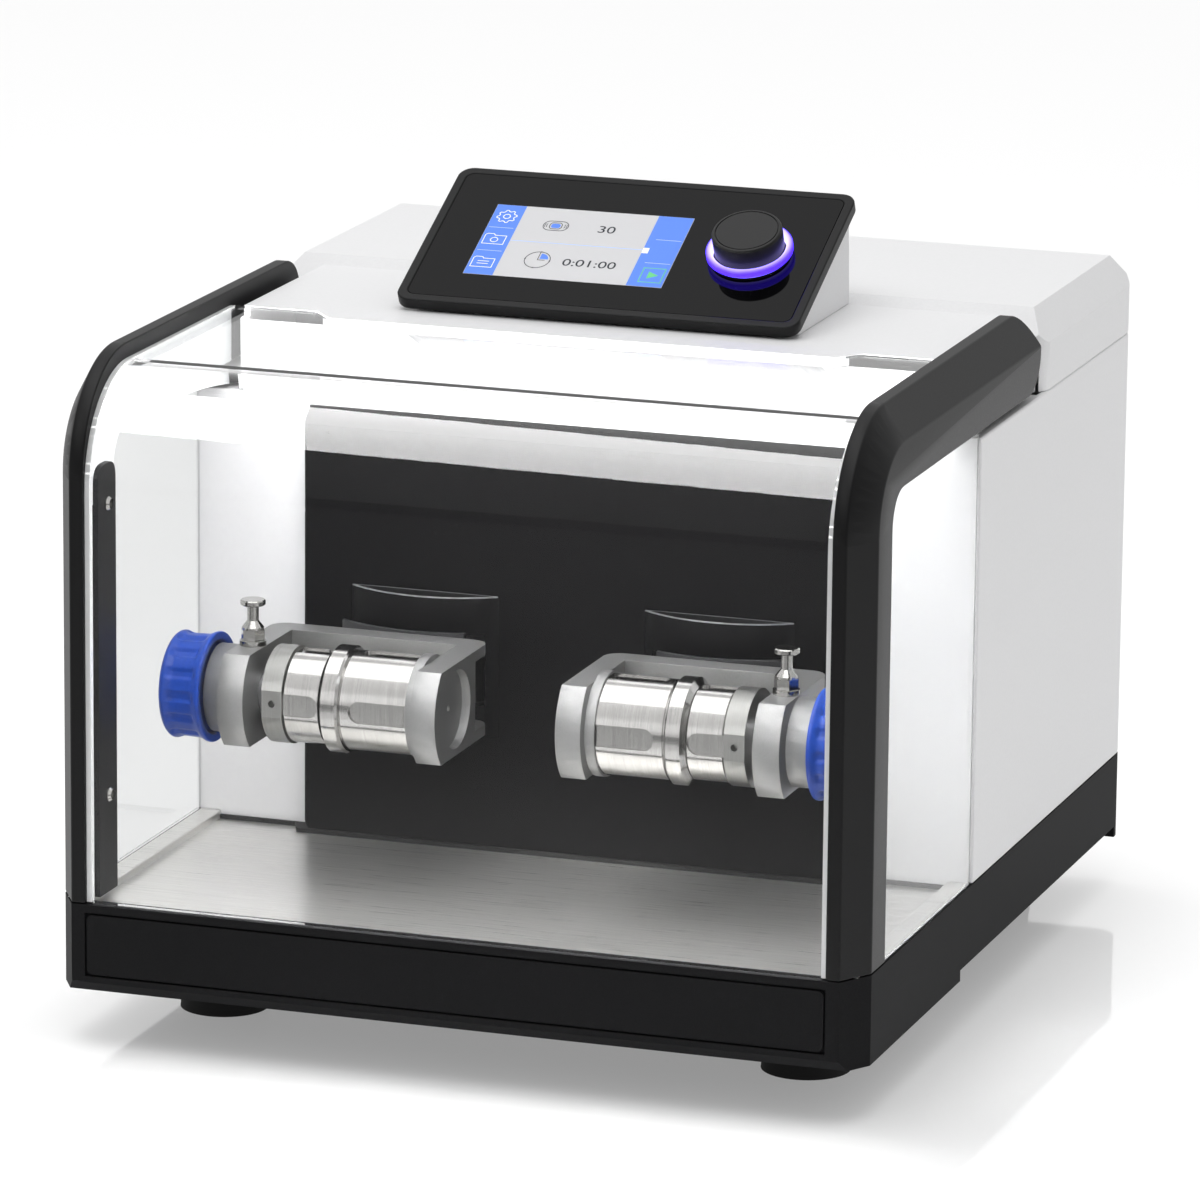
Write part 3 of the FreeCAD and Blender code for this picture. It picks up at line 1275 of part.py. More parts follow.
def build_clamp(name, side):
    """Pressure disk, spindle with a collar, and the blue knob that drives them."""
    axis_y, axis_z = jar_centre()
    disk = cylinder("DiskBlank" + name, sheet.pressure_disk_radius, "X", (axis_y, axis_z),
                    (side * jar_end_x, side * disk_outer_x))
    flat = sheet.pressure_disk_flat / 2
    face_y = axis_y - sheet.pressure_disk_radius
    sight = cylinder("DiskHole" + name, sheet.pressure_disk_hole_radius, "Y",
                     (side * (jar_end_x + sheet.pressure_disk_length / 2), axis_z),
                     (face_y - 1, face_y + sheet.pressure_disk_hole_depth))
    pad_cut = box("DiskFlat" + name, (side * jar_end_x, side * disk_outer_x),
                  (face_y - 1, face_y + 1), (axis_z - flat, axis_z + flat))
    socket = cylinder("DiskSocket" + name, sheet.spindle_radius + sheet.running_clearance, "X",
                      (axis_y, axis_z),
                      (side * (disk_outer_x - sheet.spindle_collar_length), side * disk_outer_x))
    node(name + "_pressure_disk", cut("PressureDisk" + name, disk, sight, pad_cut, socket))

    collar_low = disk_outer_x + sheet.running_clearance
    collar_high = gap_outer_x - sheet.running_clearance
    neck = sheet.spindle_radius
    collar = sheet.spindle_collar_radius
    tip = disk_outer_x - sheet.spindle_collar_length + sheet.running_clearance
    end = knob_inner_x + sheet.clamp_knob_cavity_depth
    spindle = turned("ClampSpindle" + name, "X", [
        (side * tip, 0), (side * tip, neck), (side * collar_low, neck), (side * collar_low, collar),
        (side * collar_high, collar), (side * collar_high, neck), (side * end, neck), (side * end, 0)],
        jar_centre())
    node(name + "_clamp_spindle", spindle)

    rim = sheet.clamp_knob_rim
    radius = sheet.clamp_knob_radius
    waist = sheet.clamp_knob_waist_radius
    cavity = sheet.clamp_knob_cavity_radius
    blank = turned("KnobBlank" + name, "X", [
        (side * along, around) for along, around in (
            (knob_inner_x + sheet.clamp_knob_cavity_depth, as_size(0)),
            (knob_inner_x + sheet.clamp_knob_cavity_depth, cavity),
            (knob_inner_x, cavity), (knob_inner_x, radius - 1), (knob_inner_x + 1, radius),
            (knob_inner_x + rim / 2, radius), (knob_inner_x + rim, (radius + waist) / 2),
            (knob_inner_x + 2 * rim, waist), (knob_outer_x - 2 * rim, waist),
            (knob_outer_x - rim, (radius + waist) / 2), (knob_outer_x - rim / 2, radius),
            (knob_outer_x - 1, radius), (knob_outer_x, radius - 1.5), (knob_outer_x, as_size(0)))],
        jar_centre())
    flutes = []
    count = int(sheet.clamp_knob_flutes.value)
    reach = waist + sheet.clamp_knob_flute_radius - sheet.clamp_knob_flute_depth
    for number in range(count):
        turn = as_size(number) * 360 / sheet.clamp_knob_flutes
        flutes.append(cylinder("KnobFlute%s%d" % (name, number), sheet.clamp_knob_flute_radius, "X",
                               (axis_y + reach * cosine(turn), axis_z + reach * sine(turn)),
                               (side * (knob_inner_x + rim), side * (knob_outer_x - rim))))
    node(name + "_clamp_knob", cut("ClampKnob" + name, blank, *flutes))


def build_plunger(name, side):
    """A pull-up locking pin in a threaded sleeve on top of the outer cheek."""
    centre = (side * (gap_outer_x + sheet.holder_outer_cheek / 2), jar_axis_y)
    bottom = holder_top
    flange_top = bottom + sheet.plunger_flange_height
    hex_top = flange_top + sheet.plunger_hex_height
    flange = cylinder("SleeveFlange" + name, sheet.plunger_flange_radius, "Z", centre, (bottom, flange_top))
    nut = hexagon("SleeveHex" + name, sheet.plunger_hex_radius, centre, (flange_top, hex_top))
    bore = cylinder("SleeveBore" + name, sheet.plunger_pin_radius + sheet.running_clearance, "Z", centre,
                    (bottom - 1, hex_top + 1))
    node(name + "_plunger_sleeve", cut("PlungerSleeve" + name, fuse("SleeveSolid" + name, flange, nut), bore))

    low = bottom - sheet.plunger_pin_depth + sheet.seam_gap
    cone_low = hex_top + sheet.running_clearance
    cone_top = cone_low + sheet.plunger_cone_height
    neck_top = cone_top + sheet.plunger_neck_height
    head_top = neck_top + sheet.plunger_head_height
    pin = turned("LockingPlunger" + name, "Z", [
        (low, 0), (low, sheet.plunger_pin_radius), (cone_low, sheet.plunger_pin_radius),
        (cone_low, sheet.plunger_cone_radius), (cone_low + 1, sheet.plunger_cone_radius),
        (cone_top, sheet.plunger_neck_radius), (neck_top, sheet.plunger_neck_radius),
        (neck_top, sheet.plunger_head_radius - 0.5), (neck_top + 0.5, sheet.plunger_head_radius),
        (head_top - 0.5, sheet.plunger_head_radius), (head_top, sheet.plunger_head_radius - 0.5),
        (head_top, 0)], centre)
    node(name + "_locking_plunger", pin)


def rod_level(side):
    """Height of one connecting rod: the right one runs a step above the left one."""
    base = sheet.jar_axis_z - sheet.holder_height / 2
    return base + sheet.rod_level_step if side > 0 else base


def build_swing_arm(name, side):
    """Hub on the pivot shaft, neck to the jar holder, and a tail with the rod pin."""
    pivot = (side * sheet.rocker_pivot_x, rocker_pivot_y)
    hub_low = sheet.jar_axis_z - sheet.rocker_hub_height / 2
    hub_high = sheet.jar_axis_z + sheet.rocker_hub_height / 2
    hub = cylinder("ArmHub" + name, sheet.rocker_hub_radius, "Z", pivot, (hub_low, hub_high))
    neck_half = sheet.rocker_neck_width / 2
    neck = box("ArmNeck" + name,
               (side * sheet.rocker_neck_x - neck_half, side * sheet.rocker_neck_x + neck_half),
               (holder_back_y, rocker_pivot_y),
               (sheet.jar_axis_z - sheet.rocker_neck_height / 2,
                sheet.jar_axis_z + sheet.rocker_neck_height / 2))
    tail_half = sheet.rocker_tail_width / 2
    tail_low = rod_level(1) + sheet.rod_thickness + sheet.seam_gap
    tail_high = tail_low + sheet.rocker_tail_thickness
    tail = box("ArmTail" + name, (pivot[0] - tail_half, pivot[0] + tail_half),
               (rocker_pivot_y, rod_pin_y), (tail_low, tail_high))
    tail_end = cylinder("ArmTailEnd" + name, tail_half, "Z", (pivot[0], rod_pin_y), (tail_low, tail_high))
    pin = cylinder("ArmRodPin" + name, sheet.rod_pin_radius, "Z", (pivot[0], rod_pin_y),
                   (rod_level(-1) - 2, tail_low))
    bore = cylinder("ArmBore" + name, sheet.pivot_shaft_radius + sheet.running_clearance, "Z", pivot,
                    (hub_low - 1, hub_high + 1))
    solid = fuse("ArmSolid" + name, hub, neck, tail, tail_end, pin)
    node(name + "_swing_arm", cut("SwingArm" + name, solid, bore))


def build_connecting_rod(name, side):
    """An eye on the arm's pin and an open ring round the crank disc."""
    level = rod_level(side)
    span = (level, level + sheet.rod_thickness)
    pin = (side * sheet.rocker_pivot_x, rod_pin_y)
    crank = (0, crank_y)
    ring_bore = sheet.crank_disc_radius + sheet.crank_throw + sheet.rod_ring_clearance
    ring_outer = ring_bore + sheet.rod_ring_wall
    eye = cylinder("RodEye" + name, sheet.rod_eye_radius, "Z", pin, span)
    ring = cylinder("RodRing" + name, ring_outer, "Z", crank, span)
    drop = crank_y - rod_pin_y
    half = sheet.rod_width / 2
    bar = prism("RodBar" + name, "XY", [
        (pin[0], rod_pin_y - half), (side * ring_bore, crank_y - drop / 2 - half),
        (side * ring_bore, crank_y - drop / 2 + half), (pin[0], rod_pin_y + half)], span)
    eye_bore = cylinder("RodEyeBore" + name, sheet.rod_pin_radius + sheet.running_clearance, "Z", pin,
                        (level - 1, span[1] + 1))
    crank_bore = cylinder("RodRingBore" + name, ring_bore, "Z", crank, (level - 1, span[1] + 1))
    node(name + "_connecting_rod", cut("ConnectingRod" + name, fuse("RodSolid" + name, eye, ring, bar),
                                       eye_bore, crank_bore))


def build_shield(name, side):
    """A curved cover that rides on the arm's neck and keeps the slot shut."""
    centre = (side * sheet.rocker_pivot_x, rocker_pivot_y)
    span = (sheet.jar_axis_z - sheet.shield_height / 2, sheet.jar_axis_z + sheet.shield_height / 2)
    outer = cylinder("ShieldOuter" + name, sheet.shield_radius, "Z", centre, span)
    inner = cylinder("ShieldInner" + name, sheet.shield_radius - sheet.shield_wall, "Z", centre,
                     (span[0] - 1, span[1] + 1))
    middle = side * sheet.rocker_neck_x
    region = box("ShieldRegion" + name,
                 (middle - sheet.shield_half_width, middle + sheet.shield_half_width),
                 (rocker_pivot_y - sheet.shield_radius - 1, rocker_pivot_y - sheet.shield_radius / 2),
                 span)
    neck_half = sheet.rocker_neck_width / 2
    neck = box("ShieldNeckHole" + name, (middle - neck_half, middle + neck_half),
               (holder_back_y, rocker_pivot_y),
               (sheet.jar_axis_z - sheet.rocker_neck_height / 2,
                sheet.jar_axis_z + sheet.rocker_neck_height / 2))
    plate = common("ShieldPart" + name, outer, region)
    node(name + "_slot_shield", cut("SlotShield" + name, plate, inner, neck))


# Drive

def build_drive_frame():
    """Base casting with lower bosses, two columns and a top yoke that hold the shafts."""
    low = sheet.base_underside + sheet.base_floor
    plate_top = low + sheet.frame_plate
    half = sheet.frame_half_width
    plate = box("FramePlate", (-half, half), (frame_front_y, frame_rear_y), (low, plate_top))
    hub_low = sheet.jar_axis_z - sheet.rocker_hub_height / 2 - sheet.hub_end_gap
    hub_high = sheet.jar_axis_z + sheet.rocker_hub_height / 2 + sheet.hub_end_gap
    yoke_top = hub_high + sheet.frame_yoke_thickness
    column_rear = frame_column_y + sheet.frame_column_depth
    column_half = sheet.frame_column_width / 2
    solids = [plate]
    bores = []
    for name, side in SIDES:
        pivot = (side * sheet.rocker_pivot_x, rocker_pivot_y)
        solids.append(cylinder("FrameBoss" + name, sheet.rocker_hub_radius, "Z", pivot, (low, hub_low)))
        span_x = (pivot[0] - column_half, pivot[0] + column_half)
        solids.append(box("FrameColumn" + name, span_x, (frame_column_y, column_rear), (low, yoke_top)))
        solids.append(box("FrameYoke" + name, span_x, (rocker_pivot_y, column_rear), (hub_high, yoke_top)))
        solids.append(cylinder("FrameYokeEnd" + name, sheet.rocker_hub_radius, "Z", pivot,
                               (hub_high, yoke_top)))
        bores.append(cylinder("FrameBore" + name, sheet.pivot_shaft_radius, "Z", pivot,
                              (plate_top, yoke_top + 1)))
    solids.append(box("FrameBeam", (-sheet.rocker_pivot_x, sheet.rocker_pivot_x),
                      (crank_y - 2 * sheet.crank_shaft_radius, column_rear), (hub_high, yoke_top)))
    crank_boss = sheet.crank_shaft_radius * 2
    solids.append(cylinder("FrameCrankBoss", crank_boss, "Z", (0, crank_y),
                           (low, sheet.pulley_bottom - sheet.hub_end_gap)))
    bores.append(cylinder("FrameCrankBore", sheet.crank_shaft_radius + sheet.running_clearance, "Z",
                          (0, crank_y), (plate_top, yoke_top + 1)))
    plate_low = sheet.motor_plate_bottom
    plate_high = plate_low + sheet.frame_plate
    motor_half = sheet.motor_plate_half_width
    span_y = (motor_y - motor_radius, motor_y + motor_radius)
    solids.append(box("FrameMotorPlate", (-motor_half, motor_half), span_y, (plate_low, plate_high)))
    for name, side in SIDES:
        solids.append(box("FrameMotorLeg" + name, (side * (motor_half - sheet.motor_leg), side * motor_half),
                          (motor_y - motor_radius / 2, span_y[1]), (low, plate_high)))
    bores.append(cylinder("FrameMotorBore", sheet.motor_shaft_radius + 2, "Z", (0, motor_y),
                          (plate_low - 1, plate_high + 1)))
    node("drive_frame", cut("DriveFrame", fuse("FrameSolid", *solids), *bores))

    shafts = [
        cylinder("PivotShaft" + name, sheet.pivot_shaft_radius, "Z",
                 (side * sheet.rocker_pivot_x, rocker_pivot_y), (plate_top, yoke_top))
        for name, side in SIDES
    ]
    node("pivot_shafts", group("PivotShafts", *shafts))


def build_crank():
    """Vertical shaft with a belt pulley and two opposed crank discs."""
    low = sheet.base_underside + sheet.base_floor + sheet.frame_plate + sheet.hub_end_gap
    high = sheet.jar_axis_z + sheet.rocker_hub_height / 2 + sheet.frame_yoke_thickness
    shaft = cylinder("CrankShaft", sheet.crank_shaft_radius, "Z", (0, crank_y), (low, high))
    pulley = cylinder("CrankPulley", sheet.crank_pulley_radius, "Z", (0, crank_y),
                      (sheet.pulley_bottom, sheet.pulley_bottom + sheet.pulley_height))
    discs = [
        cylinder("CrankDisc" + name, sheet.crank_disc_radius, "Z", (0, crank_y + side * sheet.crank_throw),
                 (rod_level(side) - 1, rod_level(side) + sheet.rod_thickness + 1))
        for name, side in SIDES
    ]
    node("eccentric_shaft", fuse("EccentricShaft", shaft, pulley, *discs))


def build_motor():
    plate_top = sheet.motor_plate_bottom + sheet.frame_plate
    centre = (0, motor_y)
    can = cylinder("MotorCan", motor_radius, "Z", centre, (plate_top, plate_top + sheet.motor_height))
    step = motor_radius * sheet.motor_cap_share
    cap = cylinder("MotorCap", step, "Z", centre,
                   (plate_top + sheet.motor_height, plate_top + sheet.motor_height + sheet.frame_plate))
    bore = cylinder("MotorShaftBore", sheet.motor_shaft_radius + sheet.running_clearance, "Z", centre,
                    (plate_top - 1, plate_top + sheet.frame_plate))
    node("motor_body", cut("MotorBody", fuse("MotorSolid", can, cap), bore))

    shaft = cylinder("MotorShaft", sheet.motor_shaft_radius, "Z", centre,
                     (sheet.pulley_bottom, plate_top + sheet.frame_plate - sheet.hub_end_gap))
    pulley = cylinder("MotorPulleyDisc", sheet.motor_pulley_radius, "Z", centre,
                      (sheet.pulley_bottom, sheet.pulley_bottom + sheet.pulley_height))
    node("motor_pulley", fuse("MotorPulley", shaft, pulley))


def belt_loop(name, small, large, margin, span):
    """The region inside a belt that runs round both pulleys, grown by a margin."""
    distance = motor_y - crank_y
    lean_sine = (large - small) / distance
    lean_cosine = root(1 - lean_sine * lean_sine)
    big = large + margin
    little = small + margin
    hull = prism(name + "Hull", "XY", [
        (big * lean_cosine, crank_y + big * lean_sine),
        (little * lean_cosine, motor_y + little * lean_sine),
        (-little * lean_cosine, motor_y + little * lean_sine),
        (-big * lean_cosine, crank_y + big * lean_sine)], span)
    crank_end = cylinder(name + "CrankEnd", big, "Z", (0, crank_y), span)
    motor_end = cylinder(name + "MotorEnd", little, "Z", (0, motor_y), span)
    return fuse(name, hull, crank_end, motor_end)


def build_belt():
    margin = sheet.belt_gap
    low = sheet.pulley_bottom + 1
    high = sheet.pulley_bottom + sheet.pulley_height - 1
    small = sheet.motor_pulley_radius
    large = sheet.crank_pulley_radius
    outer = belt_loop("BeltOuter", small, large, margin + sheet.belt_thickness, (low, high))
    inner = belt_loop("BeltInner", small, large, margin, (low - 1, high + 1))
    node("drive_belt", cut("DriveBelt", outer, inner))


def build_power_supply():
    low = sheet.base_underside + sheet.base_floor
    inner = sheet.frame_half_width + sheet.supply_frame_gap
    outer = half_width - sheet.supply_side_gap
    rear = supply_y + sheet.supply_depth
    case = prism("PowerSupply", "XY", [(inner, supply_y), (outer, supply_y), (outer, rear), (inner, rear)],
                 (low, low + sheet.supply_height))
    rounded(case, "PowerSupplyEdges", sheet.seat_lip, ALONG_Z, lambda c: True)
    node("power_supply", case)


# Rear connections

def build_inlet():
    """A mains inlet for a removable lead: flange, housing, cavity and three blades."""
    x = sheet.inlet_x
    z = sheet.rear_row_z
    gap = sheet.panel_fit
    half = sheet.inlet_width / 2 - gap
    tall = sheet.inlet_height / 2 - gap
    lip = sheet.inlet_flange
    face = rear_y + sheet.connector_flange
    flange = box("InletFlange", (x - half - lip, x + half + lip), (rear_y, face),
                 (z - tall - lip, z + tall + lip))
    case = box("InletCase", (x - half, x + half), (rear_y - sheet.inlet_depth, rear_y), (z - tall, z + tall))
    wide = sheet.inlet_cavity_width / 2
    high = sheet.inlet_cavity_height / 2
    cavity = box("InletCavity", (x - wide, x + wide), (face - sheet.inlet_cavity_depth, face + 1),
                 (z - high, z + high))
    blades = [
        box("InletBlade%d" % (number + 2),
            (x + number * sheet.inlet_pin_pitch - sheet.inlet_pin_thickness / 2,
             x + number * sheet.inlet_pin_pitch + sheet.inlet_pin_thickness / 2),
            (face - sheet.inlet_cavity_depth, face - 2),
            (z - sheet.inlet_pin_width / 2, z + sheet.inlet_pin_width / 2))
        for number in (-1, 0, 1)
    ]
    hollow = cut("InletHollow", fuse("InletSolid", flange, case), cavity)
    node("mains_inlet", fuse("MainsInlet", hollow, *blades))


def build_power_switch():
    """A framed rocker that tilts about a short cross axle."""
    x = sheet.switch_x
    z = sheet.rear_row_z
    gap = sheet.panel_fit
    half = sheet.switch_width / 2 - gap
    tall = sheet.switch_height / 2 - gap
    wall = sheet.switch_wall
    lip = sheet.connector_flange
    face = rear_y + lip
    flange = box("SwitchFlange", (x - half - lip, x + half + lip), (rear_y, face),
                 (z - tall - lip, z + tall + lip))
    case = box("SwitchCase", (x - half, x + half), (rear_y - sheet.switch_depth, rear_y),
               (z - tall, z + tall))
    inner_half = half - wall
    inner_tall = tall - wall
    cavity = box("SwitchCavity", (x - inner_half, x + inner_half),
                 (rear_y - sheet.switch_depth + wall, face + 1), (z - inner_tall, z + inner_tall))
    axle_y = rear_y - sheet.switch_depth / 3
    axle_hole = cylinder("SwitchAxleHole", sheet.switch_pin_radius + sheet.running_clearance, "X",
                         (axle_y, z), (x - half + wall / 2, x + half - wall / 2))
    node("switch_frame", cut("SwitchFrame", fuse("SwitchSolid", flange, case), cavity, axle_hole))

    clearance = sheet.switch_tilt_clearance
    key_half = inner_half - clearance / 2
    key_tall = inner_tall - clearance * 4
    key = prism("SwitchKey", "YZ", [
        (axle_y - wall, z - key_tall / 2), (face + sheet.switch_key_dip, z - key_tall),
        (face - sheet.switch_key_dip, z), (face + sheet.switch_key_reach, z + key_tall),
        (axle_y - wall, z + key_tall / 2)], (x - key_half, x + key_half))
    axle = cylinder("SwitchAxle", sheet.switch_pin_radius, "X", (axle_y, z),
                    (x - half + wall / 2 + sheet.running_clearance,
                     x + half - wall / 2 - sheet.running_clearance))
    node("power_switch_rocker", fuse("PowerSwitchRocker", key, axle))


def build_vent():
    """A flat grille with level slots over the rear opening."""
    half = sheet.vent_width / 2
    tall = sheet.vent_height / 2
    x = sheet.vent_x
    z = sheet.vent_z
    plate = box("VentPlate", (x - half, x + half), (rear_y, rear_y + sheet.vent_thickness),
                (z - tall, z + tall))
    margin = 3 * sheet.vent_slot_height
    slots = []
    count = int(sheet.vent_slots.value)
    pitch = (sheet.vent_height - margin) / sheet.vent_slots
    for number in range(count):
        level = z - tall + margin / 2 + pitch * (number + 0.5)
        slots.append(box("VentSlot%d" % number, (x - half + margin, x + half - margin),
                         (rear_y - 1, rear_y + sheet.vent_thickness + 1),
                         (level - sheet.vent_slot_height / 2, level + sheet.vent_slot_height / 2)))
    node("vent_grille", cut("VentGrille", plate, *slots))


def build_rear_screws():
    inset = sheet.rear_screw_inset + sheet.rear_corner_radius
    screws = []
    for side in (-1, 1):
        for level in (sheet.base_top + inset, (sheet.base_top + sheet.parting_height) / 2,
                      sheet.parting_height - inset):
            screws.append(cylinder("RearScrew%d" % len(screws), sheet.rear_screw_radius, "Y",
                                   (side * (half_width - inset), level),
                                   (rear_y, rear_y + sheet.rear_screw_height)))
    node("rear_screws", group("RearScrews", *screws))


def build_all():
    build_base()
    build_front_panel()
    build_feet()
    build_floor()
    build_front_wall()
    build_back_plate()
    build_shrouds()
    build_housing()
    build_lid()
    build_hood_window()
    build_hood_screws()
    build_hinges()
    build_pedestal()
    build_panel()
    build_control_knob()
    build_drive_frame()
    build_crank()
    build_motor()
    build_belt()
    build_power_supply()
    build_inlet()
    build_power_switch()
    build_vent()
    build_rear_screws()
    for name, side in SIDES:
        build_hood_arm(name, side)
        build_side_window(name, side)
        build_swing_arm(name, side)
        build_connecting_rod(name, side)
        build_shield(name, side)
        build_jar_holder(name, side)
        build_jar(name, side)
        build_clamp(name, side)
        build_plunger(name, side)


def check_and_export():
    doc.recompute()
    for item in doc.Objects:
        if "Invalid" in item.State or "Error" in item.State:
            raise RuntimeError("%s did not recompute: %s" % (item.Name, item.State))
    for item in nodes:
        if item.Shape.isNull() or not item.Shape.isValid() or not item.Shape.Solids:
            raise RuntimeError("%s has no valid shape" % item.Label)
    os.makedirs("parts", exist_ok=True)
    for item in nodes:
        item.Shape.exportStep("parts/%s.step" % item.Label)


build_all()
check_and_export()
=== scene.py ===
"""Looks of the bench mixer mill: materials, small pieces, studio and camera, in metres."""
import json
import math

import bmesh
import bpy
from mathutils import Matrix, Vector


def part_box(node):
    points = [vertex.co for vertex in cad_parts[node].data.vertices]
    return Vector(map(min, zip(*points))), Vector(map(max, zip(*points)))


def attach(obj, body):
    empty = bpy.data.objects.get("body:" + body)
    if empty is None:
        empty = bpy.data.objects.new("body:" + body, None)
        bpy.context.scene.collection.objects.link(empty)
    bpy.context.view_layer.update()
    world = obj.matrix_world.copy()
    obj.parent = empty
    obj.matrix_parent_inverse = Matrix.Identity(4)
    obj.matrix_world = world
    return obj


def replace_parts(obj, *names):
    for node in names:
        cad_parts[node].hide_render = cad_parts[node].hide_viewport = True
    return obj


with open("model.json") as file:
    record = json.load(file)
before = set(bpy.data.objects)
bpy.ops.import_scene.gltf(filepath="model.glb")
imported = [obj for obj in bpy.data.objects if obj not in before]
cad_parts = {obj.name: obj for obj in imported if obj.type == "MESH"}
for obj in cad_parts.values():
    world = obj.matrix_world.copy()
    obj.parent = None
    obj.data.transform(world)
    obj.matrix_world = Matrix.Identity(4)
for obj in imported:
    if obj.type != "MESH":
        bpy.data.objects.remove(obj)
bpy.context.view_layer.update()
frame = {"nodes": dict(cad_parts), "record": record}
NODES = frame["nodes"]
MM = 0.001
SIDES = (("left", -1), ("right", 1))

# Places of the CAD that the small pieces follow, in mm
JAR_AXIS = (-129.25, 147.0)
HOOD_BEND = (-164.25, 252.0)
PIVOT_X, PIVOT_Y = 70.0, -6.25
ARM_FACE = 171.0
RAIL_THICKNESS = 3.0

# Places on the tilted panel: across is its width, up its slope
PANEL_TILT = math.radians(26)
PANEL = Matrix.Translation(Vector((-2.0, 21.65, 330.3)) * MM) @ Matrix.Rotation(PANEL_TILT, 4, "X")
KNOB_X = 59.4
KNOB_CENTRE = PANEL @ Vector((KNOB_X * MM, 0, 0))
GLASS_LEVEL = -0.3
DISPLAY_CORNER = Vector((-69.6, -28.6))
DISPLAY_SIZE = (95.0, 53.2)

# Outlines drawn flat: from the side view (y, z) towards x, and from the front view (x, z) towards y
ACROSS = Matrix(((0, 0, 1, 0), (1, 0, 0, 0), (0, 1, 0, 0), (0, 0, 0, 1)))
LENGTHWAYS = Matrix(((1, 0, 0, 0), (0, 0, 1, 0), (0, 1, 0, 0), (0, 0, 0, 1)))
LEVEL = Matrix.Identity(4)

# Camera: the photograph's own angle, distance (m), lens and sensor (mm), and how far it sees (m)
CAMERA_TARGET = Vector((-1.958, -10.651, 172.036)) * MM
CAMERA_AZIMUTH = math.radians(18.719)
CAMERA_ELEVATION = math.radians(13.617)
CAMERA_ROLL = math.radians(0.54)
CAMERA_DISTANCE = 3.618664
CAMERA_LENS = 238.33
CAMERA_SENSOR = 36
CAMERA_SIGHT = 50


def place_camera():
    """Sets the camera back from its target, turned by the photograph's slight roll."""
    back = Vector((math.sin(CAMERA_AZIMUTH) * math.cos(CAMERA_ELEVATION),
                   -math.cos(CAMERA_AZIMUTH) * math.cos(CAMERA_ELEVATION), math.sin(CAMERA_ELEVATION)))
    right = Vector((math.cos(CAMERA_AZIMUTH), math.sin(CAMERA_AZIMUTH), 0))
    turned = Matrix((right, back.cross(right), back)).transposed().to_4x4()
    camera = bpy.data.objects.new("camera", bpy.data.cameras.new("camera"))
    bpy.context.scene.collection.objects.link(camera)
    camera.matrix_world = (Matrix.Translation(CAMERA_TARGET + back * CAMERA_DISTANCE) @ turned
                           @ Matrix.Rotation(CAMERA_ROLL, 4, "Z"))
    camera.data.lens = CAMERA_LENS
    camera.data.sensor_width = CAMERA_SENSOR
    camera.data.clip_end = CAMERA_SIGHT
    bpy.context.scene.camera = camera


# Nodes and colours
def linear(code):
    """An sRGB hex colour as linear red, green, blue and a full alpha."""
    parts = [int(code[i:i + 2], 16) / 255 for i in (1, 3, 5)]
    return [p / 12.92 if p <= 0.04045 else ((p + 0.055) / 1.055) ** 2.4 for p in parts] + [1.0]


def add(tree, kind, links=None, **settings):
    """Adds one node: settings are its properties, links sets its sockets by name or number."""
    made = tree.nodes.new(kind)
    for name, value in settings.items():
        setattr(made, name, value)
    for name, source in (links or {}).items():
        if isinstance(source, bpy.types.NodeSocket):
            tree.links.new(source, made.inputs[name])
        else:
            made.inputs[name].default_value = source
    return made


def finish(name, colour, roughness, sockets=None):
    """A material of one Principled shader, with its sockets set by their names."""
    made = bpy.data.materials.new(name)
    made.use_nodes = True
    tree = made.node_tree
    tree.nodes.clear()
    shader = add(tree, "ShaderNodeBsdfPrincipled",
                 {"Base Color": linear(colour), "Roughness": roughness, **(sockets or {})})
    add(tree, "ShaderNodeOutputMaterial", {"Surface": shader.outputs[0]})
    return made


def grained(made, shades, grain, lift, roughness, stretch=(1, 1, 1), detail=3.0):
    """Adds a surface's own unevenness. grain is its size and lift its height, in mm.

    shades are its darkest and lightest colour, roughness its lowest and highest value, and
    stretch says how many times longer the pattern runs along each axis."""
    tree = made.node_tree
    shader = tree.nodes["Principled BSDF"]
    place = add(tree, "ShaderNodeTexCoord")
    scaled = add(tree, "ShaderNodeMapping", {
        "Vector": place.outputs["Object"], "Scale": [1 / (grain * MM * s) for s in stretch]})
    noise = add(tree, "ShaderNodeTexNoise", {"Vector": scaled.outputs[0], "Scale": 1.0, "Detail": detail})
    tone = add(tree, "ShaderNodeMix", {
        0: noise.outputs["Fac"], 6: linear(shades[0]), 7: linear(shades[1])}, data_type="RGBA")
    rough = add(tree, "ShaderNodeMapRange", {
        "Value": noise.outputs["Fac"], "To Min": roughness[0], "To Max": roughness[1]})
    bump = add(tree, "ShaderNodeBump", {"Height": noise.outputs["Fac"], "Distance": lift * MM})
    tree.links.new(tone.outputs[2], shader.inputs["Base Color"])
    tree.links.new(rough.outputs[0], shader.inputs["Roughness"])
    tree.links.new(bump.outputs[0], shader.inputs["Normal"])
    return made


def speckled(made, spacing, size, colour):
    """Lays sparse light specks, such as dust in a coating, over a material's colour."""
    tree = made.node_tree
    shader = tree.nodes["Principled BSDF"]
    place = add(tree, "ShaderNodeTexCoord")
    cells = add(tree, "ShaderNodeTexVoronoi", {
        "Vector": place.outputs["Object"], "Scale": 1 / (spacing * MM)})
    spot = add(tree, "ShaderNodeMapRange", {
        "Value": cells.outputs["Distance"], "From Min": size / spacing, "From Max": 0.5 * size / spacing})
    under = shader.inputs["Base Color"].links[0].from_socket
    tone = add(tree, "ShaderNodeMix", {0: spot.outputs[0], 6: under, 7: linear(colour)}, data_type="RGBA")
    tree.links.new(tone.outputs[2], shader.inputs["Base Color"])
    return made


# The display's light, and the gloss of its coated cover glass
DISPLAY_GLOW = 0.3
GLASS_SHINE = 0.22


